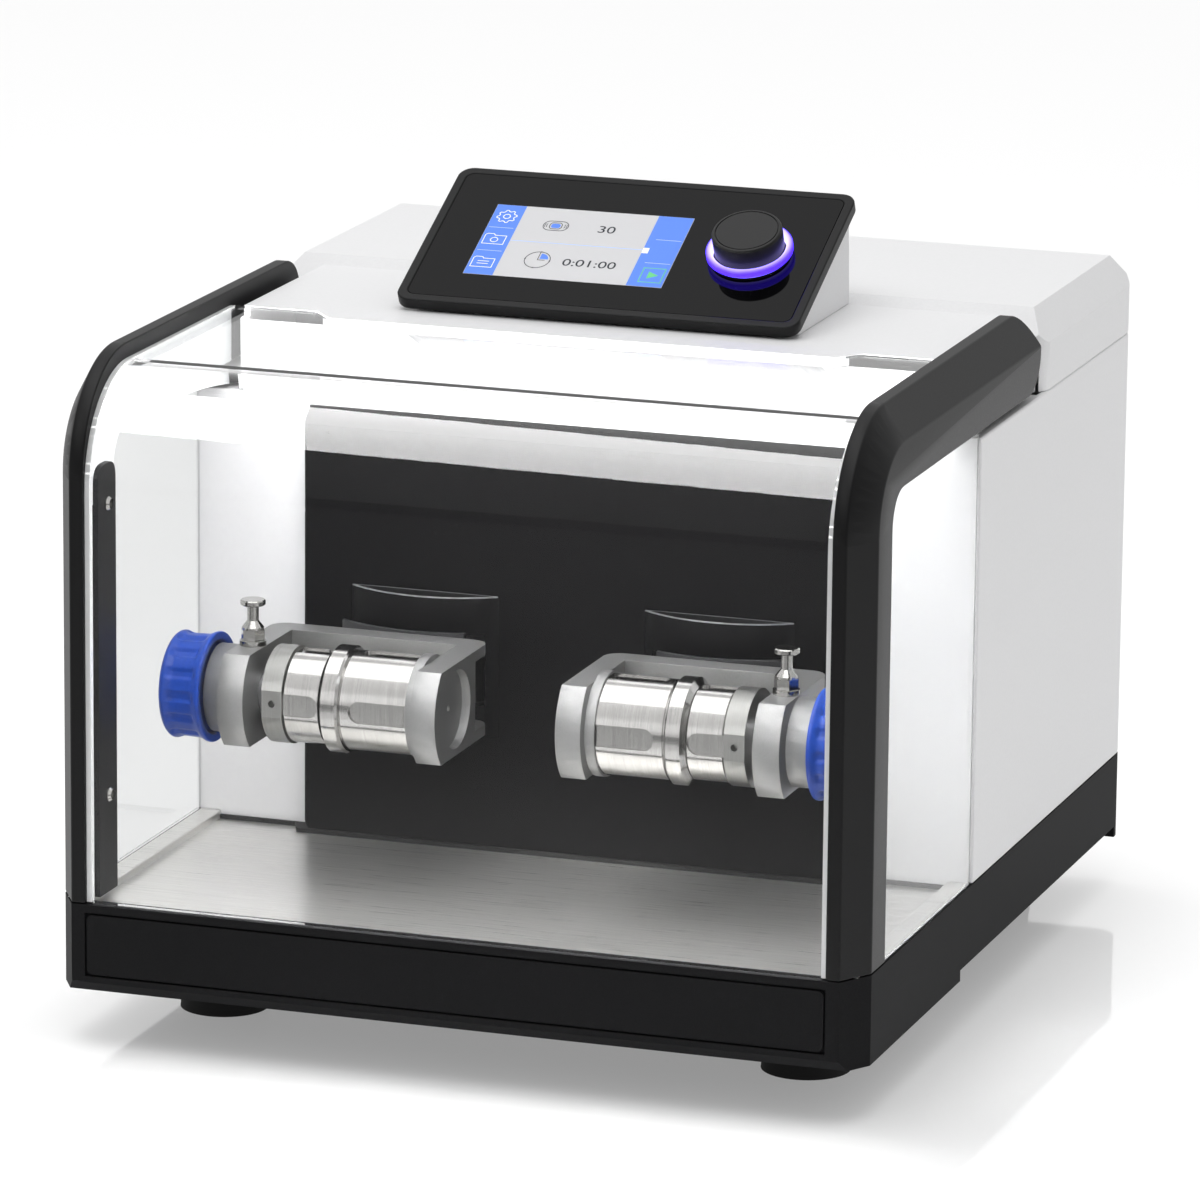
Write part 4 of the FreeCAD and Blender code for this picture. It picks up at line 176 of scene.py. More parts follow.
def make_finishes():
    """One material for each of the record's slots, and a few for the small pieces."""
    made = {}
    # Polyurethane paint sprayed on sheet steel: an even satin with a very fine orange peel.
    made["white_shell"] = grained(finish("white_satin_paint", "#F0F0F1", 0.42),
                                  ("#ECECED", "#F4F4F5"), 1.6, 0.006, (0.38, 0.48))
    # The same paint on the wall behind the jars, drawn a shade duller: painted shade.
    made["chamber_white"] = grained(finish("white_paint_painted_shade", "#E1E1E2", 0.46),
                                    ("#DDDDDE", "#E5E5E6"), 1.6, 0.006, (0.42, 0.52))
    # Moulded ABS, black through: smooth enough that its bevels catch long highlights.
    made["black_base"] = grained(finish("black_moulded_abs", "#222223", 0.4, {"Specular IOR Level": 0.012}),
                                 ("#1E1E1F", "#29292A"), 0.7, 0.004, (0.36, 0.46))
    # Spark-eroded moulding of glass-filled nylon: a fine matt leather grain.
    made["charcoal_plastic"] = grained(finish("charcoal_textured_nylon", "#101011", 0.42,
                                              {"Specular IOR Level": 0.24}),
                                       ("#0E0E0F", "#141415"), 0.6, 0.006, (0.38, 0.5))
    # Powder coat on a steel plate: black, satin, with specks of lighter dust.
    made["black_plate"] = speckled(grained(finish("black_powder_coat", "#0B0B0C", 0.4,
                                                  {"Specular IOR Level": 0.07}),
                                           ("#0A0A0B", "#0E0E0F"), 0.9, 0.0008, (0.36, 0.46)),
                                   7.0, 0.32, "#5A5A5C")
    # Stainless sheet brushed from side to side: long fine scratches that spread reflections.
    made["floor_steel"] = grained(finish("brushed_stainless", "#E6E5E2", 0.3, {"Metallic": 0.85}),
                                  ("#CBCAC7", "#FAF9F6"), 0.55, 0.03, (0.22, 0.38), (60, 1, 1), 5.0)
    # Moulded nitrile rubber: dull, with a soft bloom.
    made["foot_rubber"] = grained(finish("nitrile_rubber", "#161616", 0.8),
                                  ("#121212", "#1D1D1D"), 1.2, 0.02, (0.72, 0.88))
    # Cast acrylic sheet, heat bent and flame polished: clear, glossy, almost colourless. Its index
    # is under acrylic's own 1.49, because the softboxes would hide the jars behind it otherwise.
    made["clear_window"] = finish("clear_cast_acrylic", "#F7F7F7", 0.0,
                                  {"Transmission Weight": 1.0, "IOR": 1.26})
    # Extruded acrylic sheet of the sides: clear, with a faint grey body.
    made["side_window"] = finish("clear_side_acrylic", "#E9EAEA", 0.0,
                                 {"Transmission Weight": 1.0, "IOR": 1.18})
    # Painted highlight: the acrylic's sawn and polished edge drawn as an opaque pale strip, standing in for the
    # light that the edge gathers from the whole sheet.
    made["glass_edge"] = finish("acrylic_edge_painted_highlight", "#EDEEEE", 0.12)
    # Frosted acrylic bonded along the frame: pale and soft.
    made["glass_flange"] = grained(finish("frosted_acrylic_flange", "#E2E5E6", 0.3),
                                   ("#DBDEDF", "#ECEEEF"), 2.0, 0.002, (0.26, 0.36))
    # Painted highlight: a bright metal line laid along a top edge, standing in for the light that the edge
    # catches.
    made["worn_edge"] = grained(finish("bright_metal_painted_highlight", "#A8A8AA", 0.3, {"Metallic": 0.7}),
                                ("#6E6E70", "#C4C4C6"), 3.0, 0.002, (0.26, 0.4))
    # Back-printed cover glass: deep black under a mirror-smooth face.
    made["black_glass"] = finish("black_cover_glass", "#060607", 0.03, {"Specular IOR Level": GLASS_SHINE})
    # Liquid crystal display behind the cover glass: lit from inside, pale grey.
    made["display_face"] = finish("lit_display", "#BEBEC0", 0.08, {
        "Emission Color": linear("#E2E2E4"), "Emission Strength": DISPLAY_GLOW,
        "Specular IOR Level": GLASS_SHINE})
    # Frosted acrylic light guide with violet blue lamps under it.
    made["light_ring"] = finish("violet_light_guide", "#5A48E8", 0.2, {
        "Emission Color": linear("#6446FF"), "Emission Strength": 2.8})
    # Soft-touch paint on the turning knob: black and nearly matt.
    made["knob_black"] = grained(finish("black_soft_touch_paint", "#161617", 0.42,
                                        {"Specular IOR Level": 0.35}),
                                 ("#131314", "#1A1A1B"), 0.4, 0.004, (0.38, 0.5))
    # Blue polypropylene moulding: a waxy half gloss.
    made["knob_blue"] = grained(finish("blue_moulded_polypropylene", "#0A3486", 0.34,
                                       {"Specular IOR Level": 0.3}),
                                ("#082F7C", "#0D3B98"), 1.4, 0.01, (0.28, 0.4))
    # Bead-blasted and clear-anodised aluminium: pale, even and fine-grained.
    made["blasted_aluminium"] = grained(finish("blasted_anodised_aluminium", "#8B8B8B", 0.38,
                                               {"Metallic": 0.92}),
                                        ("#7F7F7F", "#999999"), 0.5, 0.012, (0.4, 0.52))
    # Stainless steel turned on a lathe and polished: bright, with faint rings.
    made["polished_steel"] = grained(finish("turned_stainless", "#B4B3B1", 0.2, {"Metallic": 1.0}),
                                     ("#A3A2A0", "#C8C7C5"), 0.35, 0.003, (0.09, 0.18), (1, 80, 80))
    # The same steel left with a finer, duller cut on the disks that press the jars.
    made["dull_steel"] = grained(finish("fine_turned_stainless", "#868684", 0.34, {"Metallic": 1.0}),
                                 ("#7A7A78", "#929290"), 0.3, 0.003, (0.3, 0.4), (1, 60, 60))
    # Nickel-plated steel: small bright fittings.
    made["bright_steel"] = grained(finish("nickel_plate", "#B6B5B2", 0.1, {"Metallic": 1.0}),
                                   ("#A8A7A4", "#C3C2BF"), 1.0, 0.002, (0.07, 0.16))
    # Black-anodised aluminium: dark satin metal that still shows its edges.
    made["dark_shield"] = grained(finish("black_anodised_aluminium", "#1E1E20", 0.3,
                                         {"Specular IOR Level": 0.5}),
                                  ("#1A1A1C", "#242426"), 0.5, 0.003, (0.26, 0.36))
    # Sand-cast aluminium frame inside: coarse and dull.
    made["cast_frame"] = grained(finish("sand_cast_aluminium", "#8F9193", 0.6, {"Metallic": 0.8}),
                                 ("#7E8082", "#A0A2A4"), 1.8, 0.08, (0.5, 0.7))
    # Ground and hardened shaft steel: fine marks round the shaft.
    made["shaft_steel"] = grained(finish("ground_shaft_steel", "#C6C6C8", 0.22, {"Metallic": 1.0}),
                                  ("#B8B8BA", "#D2D2D4"), 0.4, 0.003, (0.17, 0.3))
    # Enamel on the motor's castings.
    made["motor_paint"] = grained(finish("graphite_enamel", "#30343A", 0.4),
                                  ("#2A2E33", "#383C42"), 1.2, 0.02, (0.34, 0.48))
    # Polyurethane timing belt with a woven back.
    made["belt_rubber"] = grained(finish("woven_belt_rubber", "#171717", 0.8),
                                  ("#111111", "#202020"), 0.8, 0.04, (0.7, 0.88))
    # Zinc-plated sheet steel: grey with pale flowers.
    made["supply_case"] = grained(finish("zinc_plated_sheet", "#A3A7AA", 0.36, {"Metallic": 0.9}),
                                  ("#93979A", "#B5B9BC"), 6.0, 0.004, (0.28, 0.46))
    # Flame-resistant polyamide of the mains fittings: black with a fine spark grain.
    made["connector_black"] = grained(finish("black_polyamide", "#19191A", 0.5),
                                      ("#151516", "#202021"), 0.5, 0.012, (0.44, 0.58))
    # Printed colours of the display's picture, lit from behind like the display.
    for name, colour in (("screen_blue", "#5F89E6"), ("screen_line", "#B9CDF8"), ("screen_ink", "#33363C"),
                         ("screen_white", "#F2F3F6"), ("screen_green", "#6CCB86")):
        made[name] = finish(name, colour, 0.08, {
            "Emission Color": linear(colour), "Emission Strength": DISPLAY_GLOW,
            "Specular IOR Level": GLASS_SHINE})
    # Paint in the switch's recessed signs.
    made["sign_white"] = finish("white_sign_ink", "#E8E8E6", 0.5)
    return made


def ring_glow(made):
    """Makes the light guide brightest towards its inner edge, over the lamps."""
    inner, outer = 17.2 * MM, 19.6 * MM
    tree = made.node_tree
    shader = tree.nodes["Principled BSDF"]
    place = add(tree, "ShaderNodeTexCoord")
    level = add(tree, "ShaderNodeVectorRotate", {
        "Vector": place.outputs["Object"], "Center": KNOB_CENTRE, "Angle": -PANEL_TILT}, rotation_type="X_AXIS")
    flat = add(tree, "ShaderNodeVectorMath", {0: level.outputs[0], 1: (1, 1, 0)}, operation="MULTIPLY")
    centre = (KNOB_CENTRE[0], KNOB_CENTRE[1], 0)
    far = add(tree, "ShaderNodeVectorMath", {0: flat.outputs[0], 1: centre}, operation="DISTANCE")
    share = add(tree, "ShaderNodeMapRange", {
        "Value": far.outputs["Value"], "From Min": inner, "From Max": outer, "To Min": 1.0, "To Max": 0.0})
    tone = add(tree, "ShaderNodeMix", {
        0: share.outputs[0], 6: linear("#3A1CF0"), 7: linear("#B4A8FF")}, data_type="RGBA")
    tree.links.new(tone.outputs[2], shader.inputs["Emission Color"])


# Mesh helpers
def as_piece(name, mesh, finishes, body):
    """Links a mesh as a piece that rides on a body, with the materials it is given."""
    for one in finishes:
        if one.name not in mesh.materials:
            mesh.materials.append(one)
    made = bpy.data.objects.new(name, mesh)
    bpy.context.scene.collection.objects.link(made)
    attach(made, body)
    return made


def to_mesh(bm, name, smooth_below=35):
    """Turns a bmesh into a mesh with outward faces, smooth below an angle in degrees."""
    bmesh.ops.recalc_face_normals(bm, faces=bm.faces)
    mesh = bpy.data.meshes.new(name)
    bm.to_mesh(mesh)
    bm.free()
    mesh.shade_smooth()
    mesh.set_sharp_from_angle(angle=math.radians(smooth_below))
    return mesh


def softened(profile, radius, steps):
    """Rounds the corners of an open line of points by a radius, kept under half of each run."""
    points = [Vector(p) for p in profile]
    made = [points[0]]
    for earlier, p, later in zip(points, points[1:], points[2:]):
        before, after = earlier - p, later - p
        reach = min(radius, 0.45 * before.length, 0.45 * after.length)
        if reach < 1e-6:
            made.append(p)
            continue
        start, end = p + before.normalized() * reach, p + after.normalized() * reach
        for step in range(steps + 1):
            t = step / steps
            made.append(start * (1 - t) ** 2 + p * (2 * t * (1 - t)) + end * t ** 2)
    return made + [points[-1]]


def spin(bm, profile, axis, centre, segments=96):
    """Spins (along, radius) points in mm about an axis through a centre in mm."""
    rings = []
    for along, radius in profile:
        ring = []
        for k in range(segments if radius > 1e-6 else 1):
            turn = 2 * math.pi * k / segments
            a, b = centre[0] + radius * math.cos(turn), centre[1] + radius * math.sin(turn)
            spot = {"X": (along, a, b), "Y": (a, along, b), "Z": (a, b, along)}[axis]
            ring.append(bm.verts.new(Vector(spot) * MM))
        rings.append(ring)
    for low, high in zip(rings, rings[1:]):
        for k in range(segments):
            following = (k + 1) % segments
            if len(low) == 1 and len(high) == 1:
                break
            if len(low) == 1:
                bm.faces.new((low[0], high[k], high[following]))
            elif len(high) == 1:
                bm.faces.new((low[k], high[0], low[following]))
            else:
                bm.faces.new((low[k], high[k], high[following], low[following]))


def raise_flat(bm, outline, low, high, place, material=0):
    """Raises a flat outline of (x, y) mm from one level to another, at a place."""
    rows = [[bm.verts.new(place @ Vector((x * MM, y * MM, z * MM))) for x, y in outline] for z in (low, high)]
    faces = [bm.faces.new(rows[0]), bm.faces.new(rows[1])]
    for i in range(len(outline)):
        j = (i + 1) % len(outline)
        faces.append(bm.faces.new((rows[0][i], rows[0][j], rows[1][j], rows[1][i])))
    for face in faces:
        face.material_index = material


def raise_stroke(bm, points, width, low, high, place, material=0, closed=False):
    """Raises a line of a width in mm along flat points: one short block for each run."""
    points = [Vector(p) for p in points]
    count = len(points)
    sides = []
    for i, p in enumerate(points):
        before = p - points[i - 1] if closed or i > 0 else points[1] - p
        after = points[(i + 1) % count] - p if closed or i < count - 1 else before
        forward = after.normalized()
        between = before.normalized() + forward
        across = Vector((-between.y, between.x)).normalized()
        stretch = max(0.5, across.dot(Vector((-forward.y, forward.x))))
        reach = across * (width / 2 / stretch)
        sides.append((p + reach, p - reach))
    for i in range(count if closed else count - 1):
        j = (i + 1) % count
        raise_flat(bm, (sides[i][0], sides[j][0], sides[j][1], sides[i][1]), low, high, place, material)


def oval(centre, half_x, half_y, corner, steps=8):
    """Points of a rectangle with round corners, centred on a place, in mm."""
    made = []
    for quarter in range(4):
        sx, sy = ((1, 1), (-1, 1), (-1, -1), (1, -1))[quarter]
        for step in range(steps + 1):
            turn = math.pi / 2 * (quarter + step / steps)
            made.append((centre[0] + sx * (half_x - corner) + corner * math.cos(turn),
                         centre[1] + sy * (half_y - corner) + corner * math.sin(turn)))
    return made


def raise_words(bm, words, height, centre, low, high, place, material):
    """Raises plain numerals, a little wider than Blender's own, centred on a place, in mm."""
    widened = 1.22
    curve = bpy.data.curves.new("numerals", "FONT")
    curve.body = words
    curve.size = 1.0
    curve.extrude = 0.5
    curve.align_x = "CENTER"
    lettering = bpy.data.objects.new("numerals", curve)
    bpy.context.scene.collection.objects.link(lettering)
    bpy.context.view_layer.update()
    mesh = bpy.data.meshes.new_from_object(lettering)
    tall = max(v.co.y for v in mesh.vertices)
    for v in mesh.vertices:
        x = centre[0] + v.co.x / tall * height * widened
        y = centre[1] + (v.co.y / tall - 0.5) * height
        z = (low + high) / 2 + v.co.z * (high - low)
        v.co = place @ (Vector((x, y, z)) * MM)
    old = len(bm.faces)
    bm.from_mesh(mesh)
    bm.faces.ensure_lookup_table()
    for face in bm.faces[old:]:
        face.material_index = material
    bpy.data.objects.remove(lettering)
    bpy.data.meshes.remove(mesh)


# Display picture
def build_display_picture(finishes):
    """Plain signs on the lit display: a gear, folders, a jar, a clock and a start arrow."""
    bm = bmesh.new()
    place = PANEL @ Matrix.Translation(Vector((*DISPLAY_CORNER, GLASS_LEVEL)) * MM)
    wide, tall = DISPLAY_SIZE
    margin, left_bar, right_bar = 0.1, 14.2, 78.1
    blue, line, ink, white, green = range(5)
    field, sign = (0.0, 0.04), (0.04, 0.08)

    def block(low_x, high_x, low_y, high_y, material, level=field):
        raise_flat(bm, ((low_x, low_y), (high_x, low_y), (high_x, high_y), (low_x, high_y)),
                   *level, place, material)

    def stroke(points, width, material, closed=False):
        raise_stroke(bm, points, width, *sign, place, material, closed)

    block(margin, left_bar, margin, tall - margin, blue)
    block(right_bar, wide - margin, margin, tall - margin, blue)
    block(left_bar, right_bar, 26.8, 27.2, line)
    block(right_bar, right_bar + 2.9, 24.6, 28.6, white, sign)
    for low_x, high_x, level in ((1.1, 12.9, 35.8), (1.1, 12.9, 18.2), (81.9, 94.0, 35.3), (81.9, 94.0, 17.7)):
        block(low_x, high_x, level - 0.16, level + 0.16, line, sign)

    # Gear and two folders on the left bar
    gear_x, gear_y = 7.1, 44.4
    teeth, tip, root, bore = 8, 4.7, 3.7, 1.6
    gear = []
    for k in range(teeth * 4):
        turn = 2 * math.pi * (k + 0.5) / (teeth * 4)
        reach = tip if k % 4 in (0, 1) else root
        gear.append((gear_x + reach * math.cos(turn), gear_y + reach * math.sin(turn)))
    stroke(gear, 0.45, white, True)
    stroke(oval((gear_x, gear_y), bore, bore, bore), 0.45, white, True)
    for centre_y in (26.8, 9.2):
        stroke([(1.5, centre_y - 3.6), (11.7, centre_y - 3.6), (11.7, centre_y + 2.9), (6.2, centre_y + 2.9),
                (5.4, centre_y + 4.0), (2.4, centre_y + 4.0), (1.5, centre_y + 3.0)], 0.4, white, True)
    for level in (8.2, 10.0):
        stroke([(4.0, level), (9.4, level)], 0.4, white)
    stroke(oval((6.6, 26.4), 1.7, 1.7, 1.7), 0.4, white, True)

    # Swinging jar and clock, each with its value
    jar_x, jar_y = 32.2, 40.0
    stroke(oval((jar_x, jar_y), 6.0, 3.5, 3.4), 0.34, ink, True)
    stroke(oval((jar_x, jar_y), 2.9, 2.3, 1.6), 0.34, ink, True)
    raise_flat(bm, oval((jar_x, jar_y), 2.2, 1.6, 1.2), *sign, place, blue)
    for side in (-1, 1):
        for reach in (3.9, 4.8):
            stroke([(jar_x + side * reach + side * 0.5 * math.cos(math.radians(t)),
                     jar_y + 1.6 * math.sin(math.radians(t))) for t in (-60, -30, 0, 30, 60)], 0.26, ink)
    clock_x, clock_y, clock_radius = 31.5, 13.8, 6.0
    stroke(oval((clock_x, clock_y), clock_radius, clock_radius, clock_radius), 0.36, ink, True)
    slice_x, slice_y, slice_radius = 32.3, 14.6, 4.0
    quarter = [(slice_x, slice_y)] + [(slice_x + slice_radius * math.cos(math.radians(t)),
                                       slice_y + slice_radius * math.sin(math.radians(t)))
                                      for t in range(0, 91, 15)]
    raise_flat(bm, quarter, *sign, place, blue)
    stroke([(clock_x, clock_y + clock_radius), (clock_x, clock_y), (35.0, clock_y)], 0.3, ink)
    value_height = 5.0
    raise_words(bm, "30", value_height, (56.8, 39.9), *sign, place, ink)
    raise_words(bm, "0:01:00", value_height, (56.5, 13.6), *sign, place, ink)
    # Start arrow in its frame
    stroke([(82.9, 3.4), (93.3, 3.4), (93.3, 13.9), (82.9, 13.9)], 0.4, green, True)
    raise_flat(bm, ((86.0, 6.1), (91.0, 8.7), (86.0, 11.3)), *sign, place, green)
    as_piece("display_picture", to_mesh(bm, "display_picture"),
             [finishes[n] for n in ("screen_blue", "screen_line", "screen_ink", "screen_white", "screen_green")],
             "chassis")


# Turning knob on the panel
def build_control_knob(finishes):
    """A knob with a soft rim, a fine groove round its top and a slightly dished cap."""
    to_panel = PANEL.inverted()
    levels = [(to_panel @ v.co).z for v in NODES["control_knob"].data.vertices]
    low, high = min(levels) / MM, max(levels) / MM
    # Level and radius: the wall and its soft rim, then the groove and the cap
    profile = softened([(low, 0), (low, 15.4), (low + 1.4, 16.1), (high - 0.9, 16.25), (high, 15.5),
                        (high, 14.6)], 0.5, 5)
    profile += [Vector(p) for p in ((high - 0.5, 14.45), (high - 0.5, 14.2), (high - 0.02, 14.05),
                                    (high - 0.15, 9.0), (high - 0.25, 4.0), (high - 0.3, 0))]
    bm = bmesh.new()
    spin(bm, profile, "Z", (KNOB_X, 0))
    bm.transform(PANEL)
    knob = as_piece("control_knob_cap", to_mesh(bm, "control_knob_cap", 40), [finishes["knob_black"]],
                    "control_knob")
    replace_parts(knob, "control_knob")


# Pieces that repeat, made with Geometry Nodes
def node_tree(name, inputs):
    """Starts a geometry tree with named inputs. Returns the tree and its input node."""
    tree = bpy.data.node_groups.new(name, "GeometryNodeTree")
    tree.interface.new_socket("Geometry", in_out="OUTPUT", socket_type="NodeSocketGeometry")
    tree.interface.new_socket("Geometry", in_out="INPUT", socket_type="NodeSocketGeometry")
    for label, kind in inputs:
        tree.interface.new_socket(label, in_out="INPUT", socket_type="NodeSocket" + kind)
    return tree, add(tree, "NodeGroupInput")


def close_tree(tree, start, geometry):
    """Ends a tree: real geometry with the material that the input names."""
    real = add(tree, "GeometryNodeRealizeInstances", {"Geometry": geometry})
    painted = add(tree, "GeometryNodeSetMaterial", {
        "Geometry": real.outputs[0], "Material": start.outputs["Material"]})
    add(tree, "NodeGroupOutput", {"Geometry": painted.outputs[0]})
    return tree


def run_tree(tree, name, mesh, values):
    """Runs a tree on a mesh and returns the plain mesh that it makes."""
    carrier = bpy.data.objects.new(name + "_maker", mesh)
    bpy.context.scene.collection.objects.link(carrier)
    modifier = carrier.modifiers.new("maker", "NODES")
    modifier.node_group = tree
    for item in tree.interface.items_tree:
        if item.in_out == "INPUT" and item.name in values:
            modifier[item.identifier] = values[item.name]
    carrier.update_tag()
    bpy.context.view_layer.update()
    evaluated = carrier.evaluated_get(bpy.context.evaluated_depsgraph_get())
    made = bpy.data.meshes.new_from_object(evaluated)
    made.name = name
    carrier.modifiers.remove(modifier)
    bpy.data.objects.remove(carrier)
    return made


def points_mesh(places):
    mesh = bpy.data.meshes.new("places")
    mesh.from_pydata([Vector(p) * MM for p in places], [], [])
    return mesh


def screw_tree():
    """Button-head screws with a hexagon socket, one on each point of the input."""
    tree, start = node_tree("socket_screws", (
        ("Head Radius", "Float"), ("Head Height", "Float"), ("Socket Radius", "Float"), ("Turn", "Vector"),
        ("Material", "Material")))
    radius, height = start.outputs["Head Radius"], start.outputs["Head Height"]
    crown_radius = add(tree, "ShaderNodeMath", {0: radius, 1: 0.72}, operation="MULTIPLY")
    rim = add(tree, "ShaderNodeMath", {0: height, 1: 0.35}, operation="MULTIPLY")
    crown = add(tree, "ShaderNodeMath", {0: height, 1: 0.65}, operation="MULTIPLY")
    lower = add(tree, "GeometryNodeMeshCylinder", {"Vertices": 32, "Radius": radius, "Depth": rim.outputs[0]})
    upper = add(tree, "GeometryNodeMeshCone", {
        "Vertices": 32, "Radius Top": crown_radius.outputs[0], "Radius Bottom": radius,
        "Depth": crown.outputs[0]})
    half_rim = add(tree, "ShaderNodeMath", {0: rim.outputs[0], 1: 0.5}, operation="MULTIPLY")
    lower_place = add(tree, "ShaderNodeCombineXYZ", {"Z": half_rim.outputs[0]})
    upper_place = add(tree, "ShaderNodeCombineXYZ", {"Z": rim.outputs[0]})
    lower_set = add(tree, "GeometryNodeTransform", {
        "Geometry": lower.outputs["Mesh"], "Translation": lower_place.outputs[0]})
    upper_set = add(tree, "GeometryNodeTransform", {
        "Geometry": upper.outputs["Mesh"], "Translation": upper_place.outputs[0]})
    socket = add(tree, "GeometryNodeMeshCylinder", {
        "Vertices": 6, "Radius": start.outputs["Socket Radius"], "Depth": height})
    socket_place = add(tree, "ShaderNodeCombineXYZ", {"Z": height})
    socket_set = add(tree, "GeometryNodeTransform", {
        "Geometry": socket.outputs["Mesh"], "Translation": socket_place.outputs[0]})
    whole = add(tree, "GeometryNodeMeshBoolean", operation="UNION")
    tree.links.new(lower_set.outputs[0], whole.inputs["Mesh 2"])
    tree.links.new(upper_set.outputs[0], whole.inputs["Mesh 2"])
    head = add(tree, "GeometryNodeMeshBoolean", {
        "Mesh 1": whole.outputs["Mesh"], "Mesh 2": socket_set.outputs[0]}, operation="DIFFERENCE")
    placed = add(tree, "GeometryNodeInstanceOnPoints", {
        "Points": start.outputs["Geometry"], "Instance": head.outputs["Mesh"],
        "Rotation": start.outputs["Turn"]})
    return close_tree(tree, start, placed.outputs[0])


def slat_tree():
    """A row of flat slats, each turned about its own length."""
    tree, start = node_tree("slat_row", (
        ("Count", "Int"), ("Start", "Vector"), ("Step", "Vector"), ("Slat Size", "Vector"), ("Turn", "Vector"),
        ("Material", "Material")))
    row = add(tree, "GeometryNodeMeshLine", {
        "Count": start.outputs["Count"], "Start Location": start.outputs["Start"],
        "Offset": start.outputs["Step"]})
    slat = add(tree, "GeometryNodeMeshCube", {"Size": start.outputs["Slat Size"]})
    placed = add(tree, "GeometryNodeInstanceOnPoints", {
        "Points": row.outputs[0], "Instance": slat.outputs["Mesh"], "Rotation": start.outputs["Turn"]})
    return close_tree(tree, start, placed.outputs[0])


def rib_tree():
    """Ribs that stand round a circle in the XY plane, at each point of the input."""
    tree, start = node_tree("rib_ring", (
        ("Count", "Int"), ("Ring Radius", "Float"), ("Rib Size", "Vector"), ("Material", "Material")))
    ring = add(tree, "GeometryNodeMeshCircle", {
        "Vertices": start.outputs["Count"], "Radius": start.outputs["Ring Radius"]})
    rib = add(tree, "GeometryNodeMeshCube", {"Size": start.outputs["Rib Size"]})
    spot = add(tree, "GeometryNodeInputPosition")
    outward = add(tree, "FunctionNodeAlignRotationToVector", {"Vector": spot.outputs[0]},
                  axis="X", pivot_axis="Z")
    ribs = add(tree, "GeometryNodeInstanceOnPoints", {
        "Points": ring.outputs[0], "Instance": rib.outputs["Mesh"], "Rotation": outward.outputs[0]})
    placed = add(tree, "GeometryNodeInstanceOnPoints", {
        "Points": start.outputs["Geometry"], "Instance": ribs.outputs[0]})
    return close_tree(tree, start, placed.outputs[0])


def flute_tree():
    """Sinks grip flutes into a body turned about an X axis, between two places along it."""
    tree, start = node_tree("grip_flutes", (
        ("Count", "Float"), ("Depth", "Float"), ("Low End", "Float"), ("High End", "Float"), ("Ramp", "Float"),
        ("Axis", "Vector"), ("Material", "Material")))
    spot = add(tree, "GeometryNodeInputPosition")
    local = add(tree, "ShaderNodeVectorMath", {
        0: spot.outputs[0], 1: start.outputs["Axis"]}, operation="SUBTRACT")
    parts = add(tree, "ShaderNodeSeparateXYZ", {0: local.outputs[0]})
    along = add(tree, "ShaderNodeMath", {0: parts.outputs["X"]}, operation="ABSOLUTE")
    turn = add(tree, "ShaderNodeMath", {0: parts.outputs["Z"], 1: parts.outputs["Y"]}, operation="ARCTAN2")
    turns = add(tree, "ShaderNodeMath", {0: turn.outputs[0], 1: start.outputs["Count"]}, operation="MULTIPLY")
    wave = add(tree, "ShaderNodeMath", {0: turns.outputs[0]}, operation="COSINE")
    flute = add(tree, "ShaderNodeMapRange", {
        "Value": wave.outputs[0], "From Min": 0.05, "From Max": 0.75}, interpolation_type="SMOOTHSTEP")
    low_full = add(tree, "ShaderNodeMath", {
        0: start.outputs["Low End"], 1: start.outputs["Ramp"]}, operation="ADD")
    high_full = add(tree, "ShaderNodeMath", {
        0: start.outputs["High End"], 1: start.outputs["Ramp"]}, operation="SUBTRACT")
    rising = add(tree, "ShaderNodeMapRange", {
        "Value": along.outputs[0], "From Min": start.outputs["Low End"], "From Max": low_full.outputs[0]},
        interpolation_type="SMOOTHSTEP")
    falling = add(tree, "ShaderNodeMapRange", {
        "Value": along.outputs[0], "From Min": start.outputs["High End"], "From Max": high_full.outputs[0]},
        interpolation_type="SMOOTHSTEP")
    band = add(tree, "ShaderNodeMath", {0: rising.outputs[0], 1: falling.outputs[0]}, operation="MULTIPLY")
    share = add(tree, "ShaderNodeMath", {0: band.outputs[0], 1: flute.outputs[0]}, operation="MULTIPLY")
    sunk = add(tree, "ShaderNodeMath", {0: share.outputs[0], 1: start.outputs["Depth"]}, operation="MULTIPLY")
    inward = add(tree, "ShaderNodeMath", {0: sunk.outputs[0], 1: -1.0}, operation="MULTIPLY")
    flat = add(tree, "ShaderNodeCombineXYZ", {"Y": parts.outputs["Y"], "Z": parts.outputs["Z"]})
    radial = add(tree, "ShaderNodeVectorMath", {0: flat.outputs[0]}, operation="NORMALIZE")
    push = add(tree, "ShaderNodeVectorMath", {
        0: radial.outputs[0], "Scale": inward.outputs[0]}, operation="SCALE")
    moved = add(tree, "GeometryNodeSetPosition", {
        "Geometry": start.outputs["Geometry"], "Offset": push.outputs[0]})
    return close_tree(tree, start, moved.outputs[0])


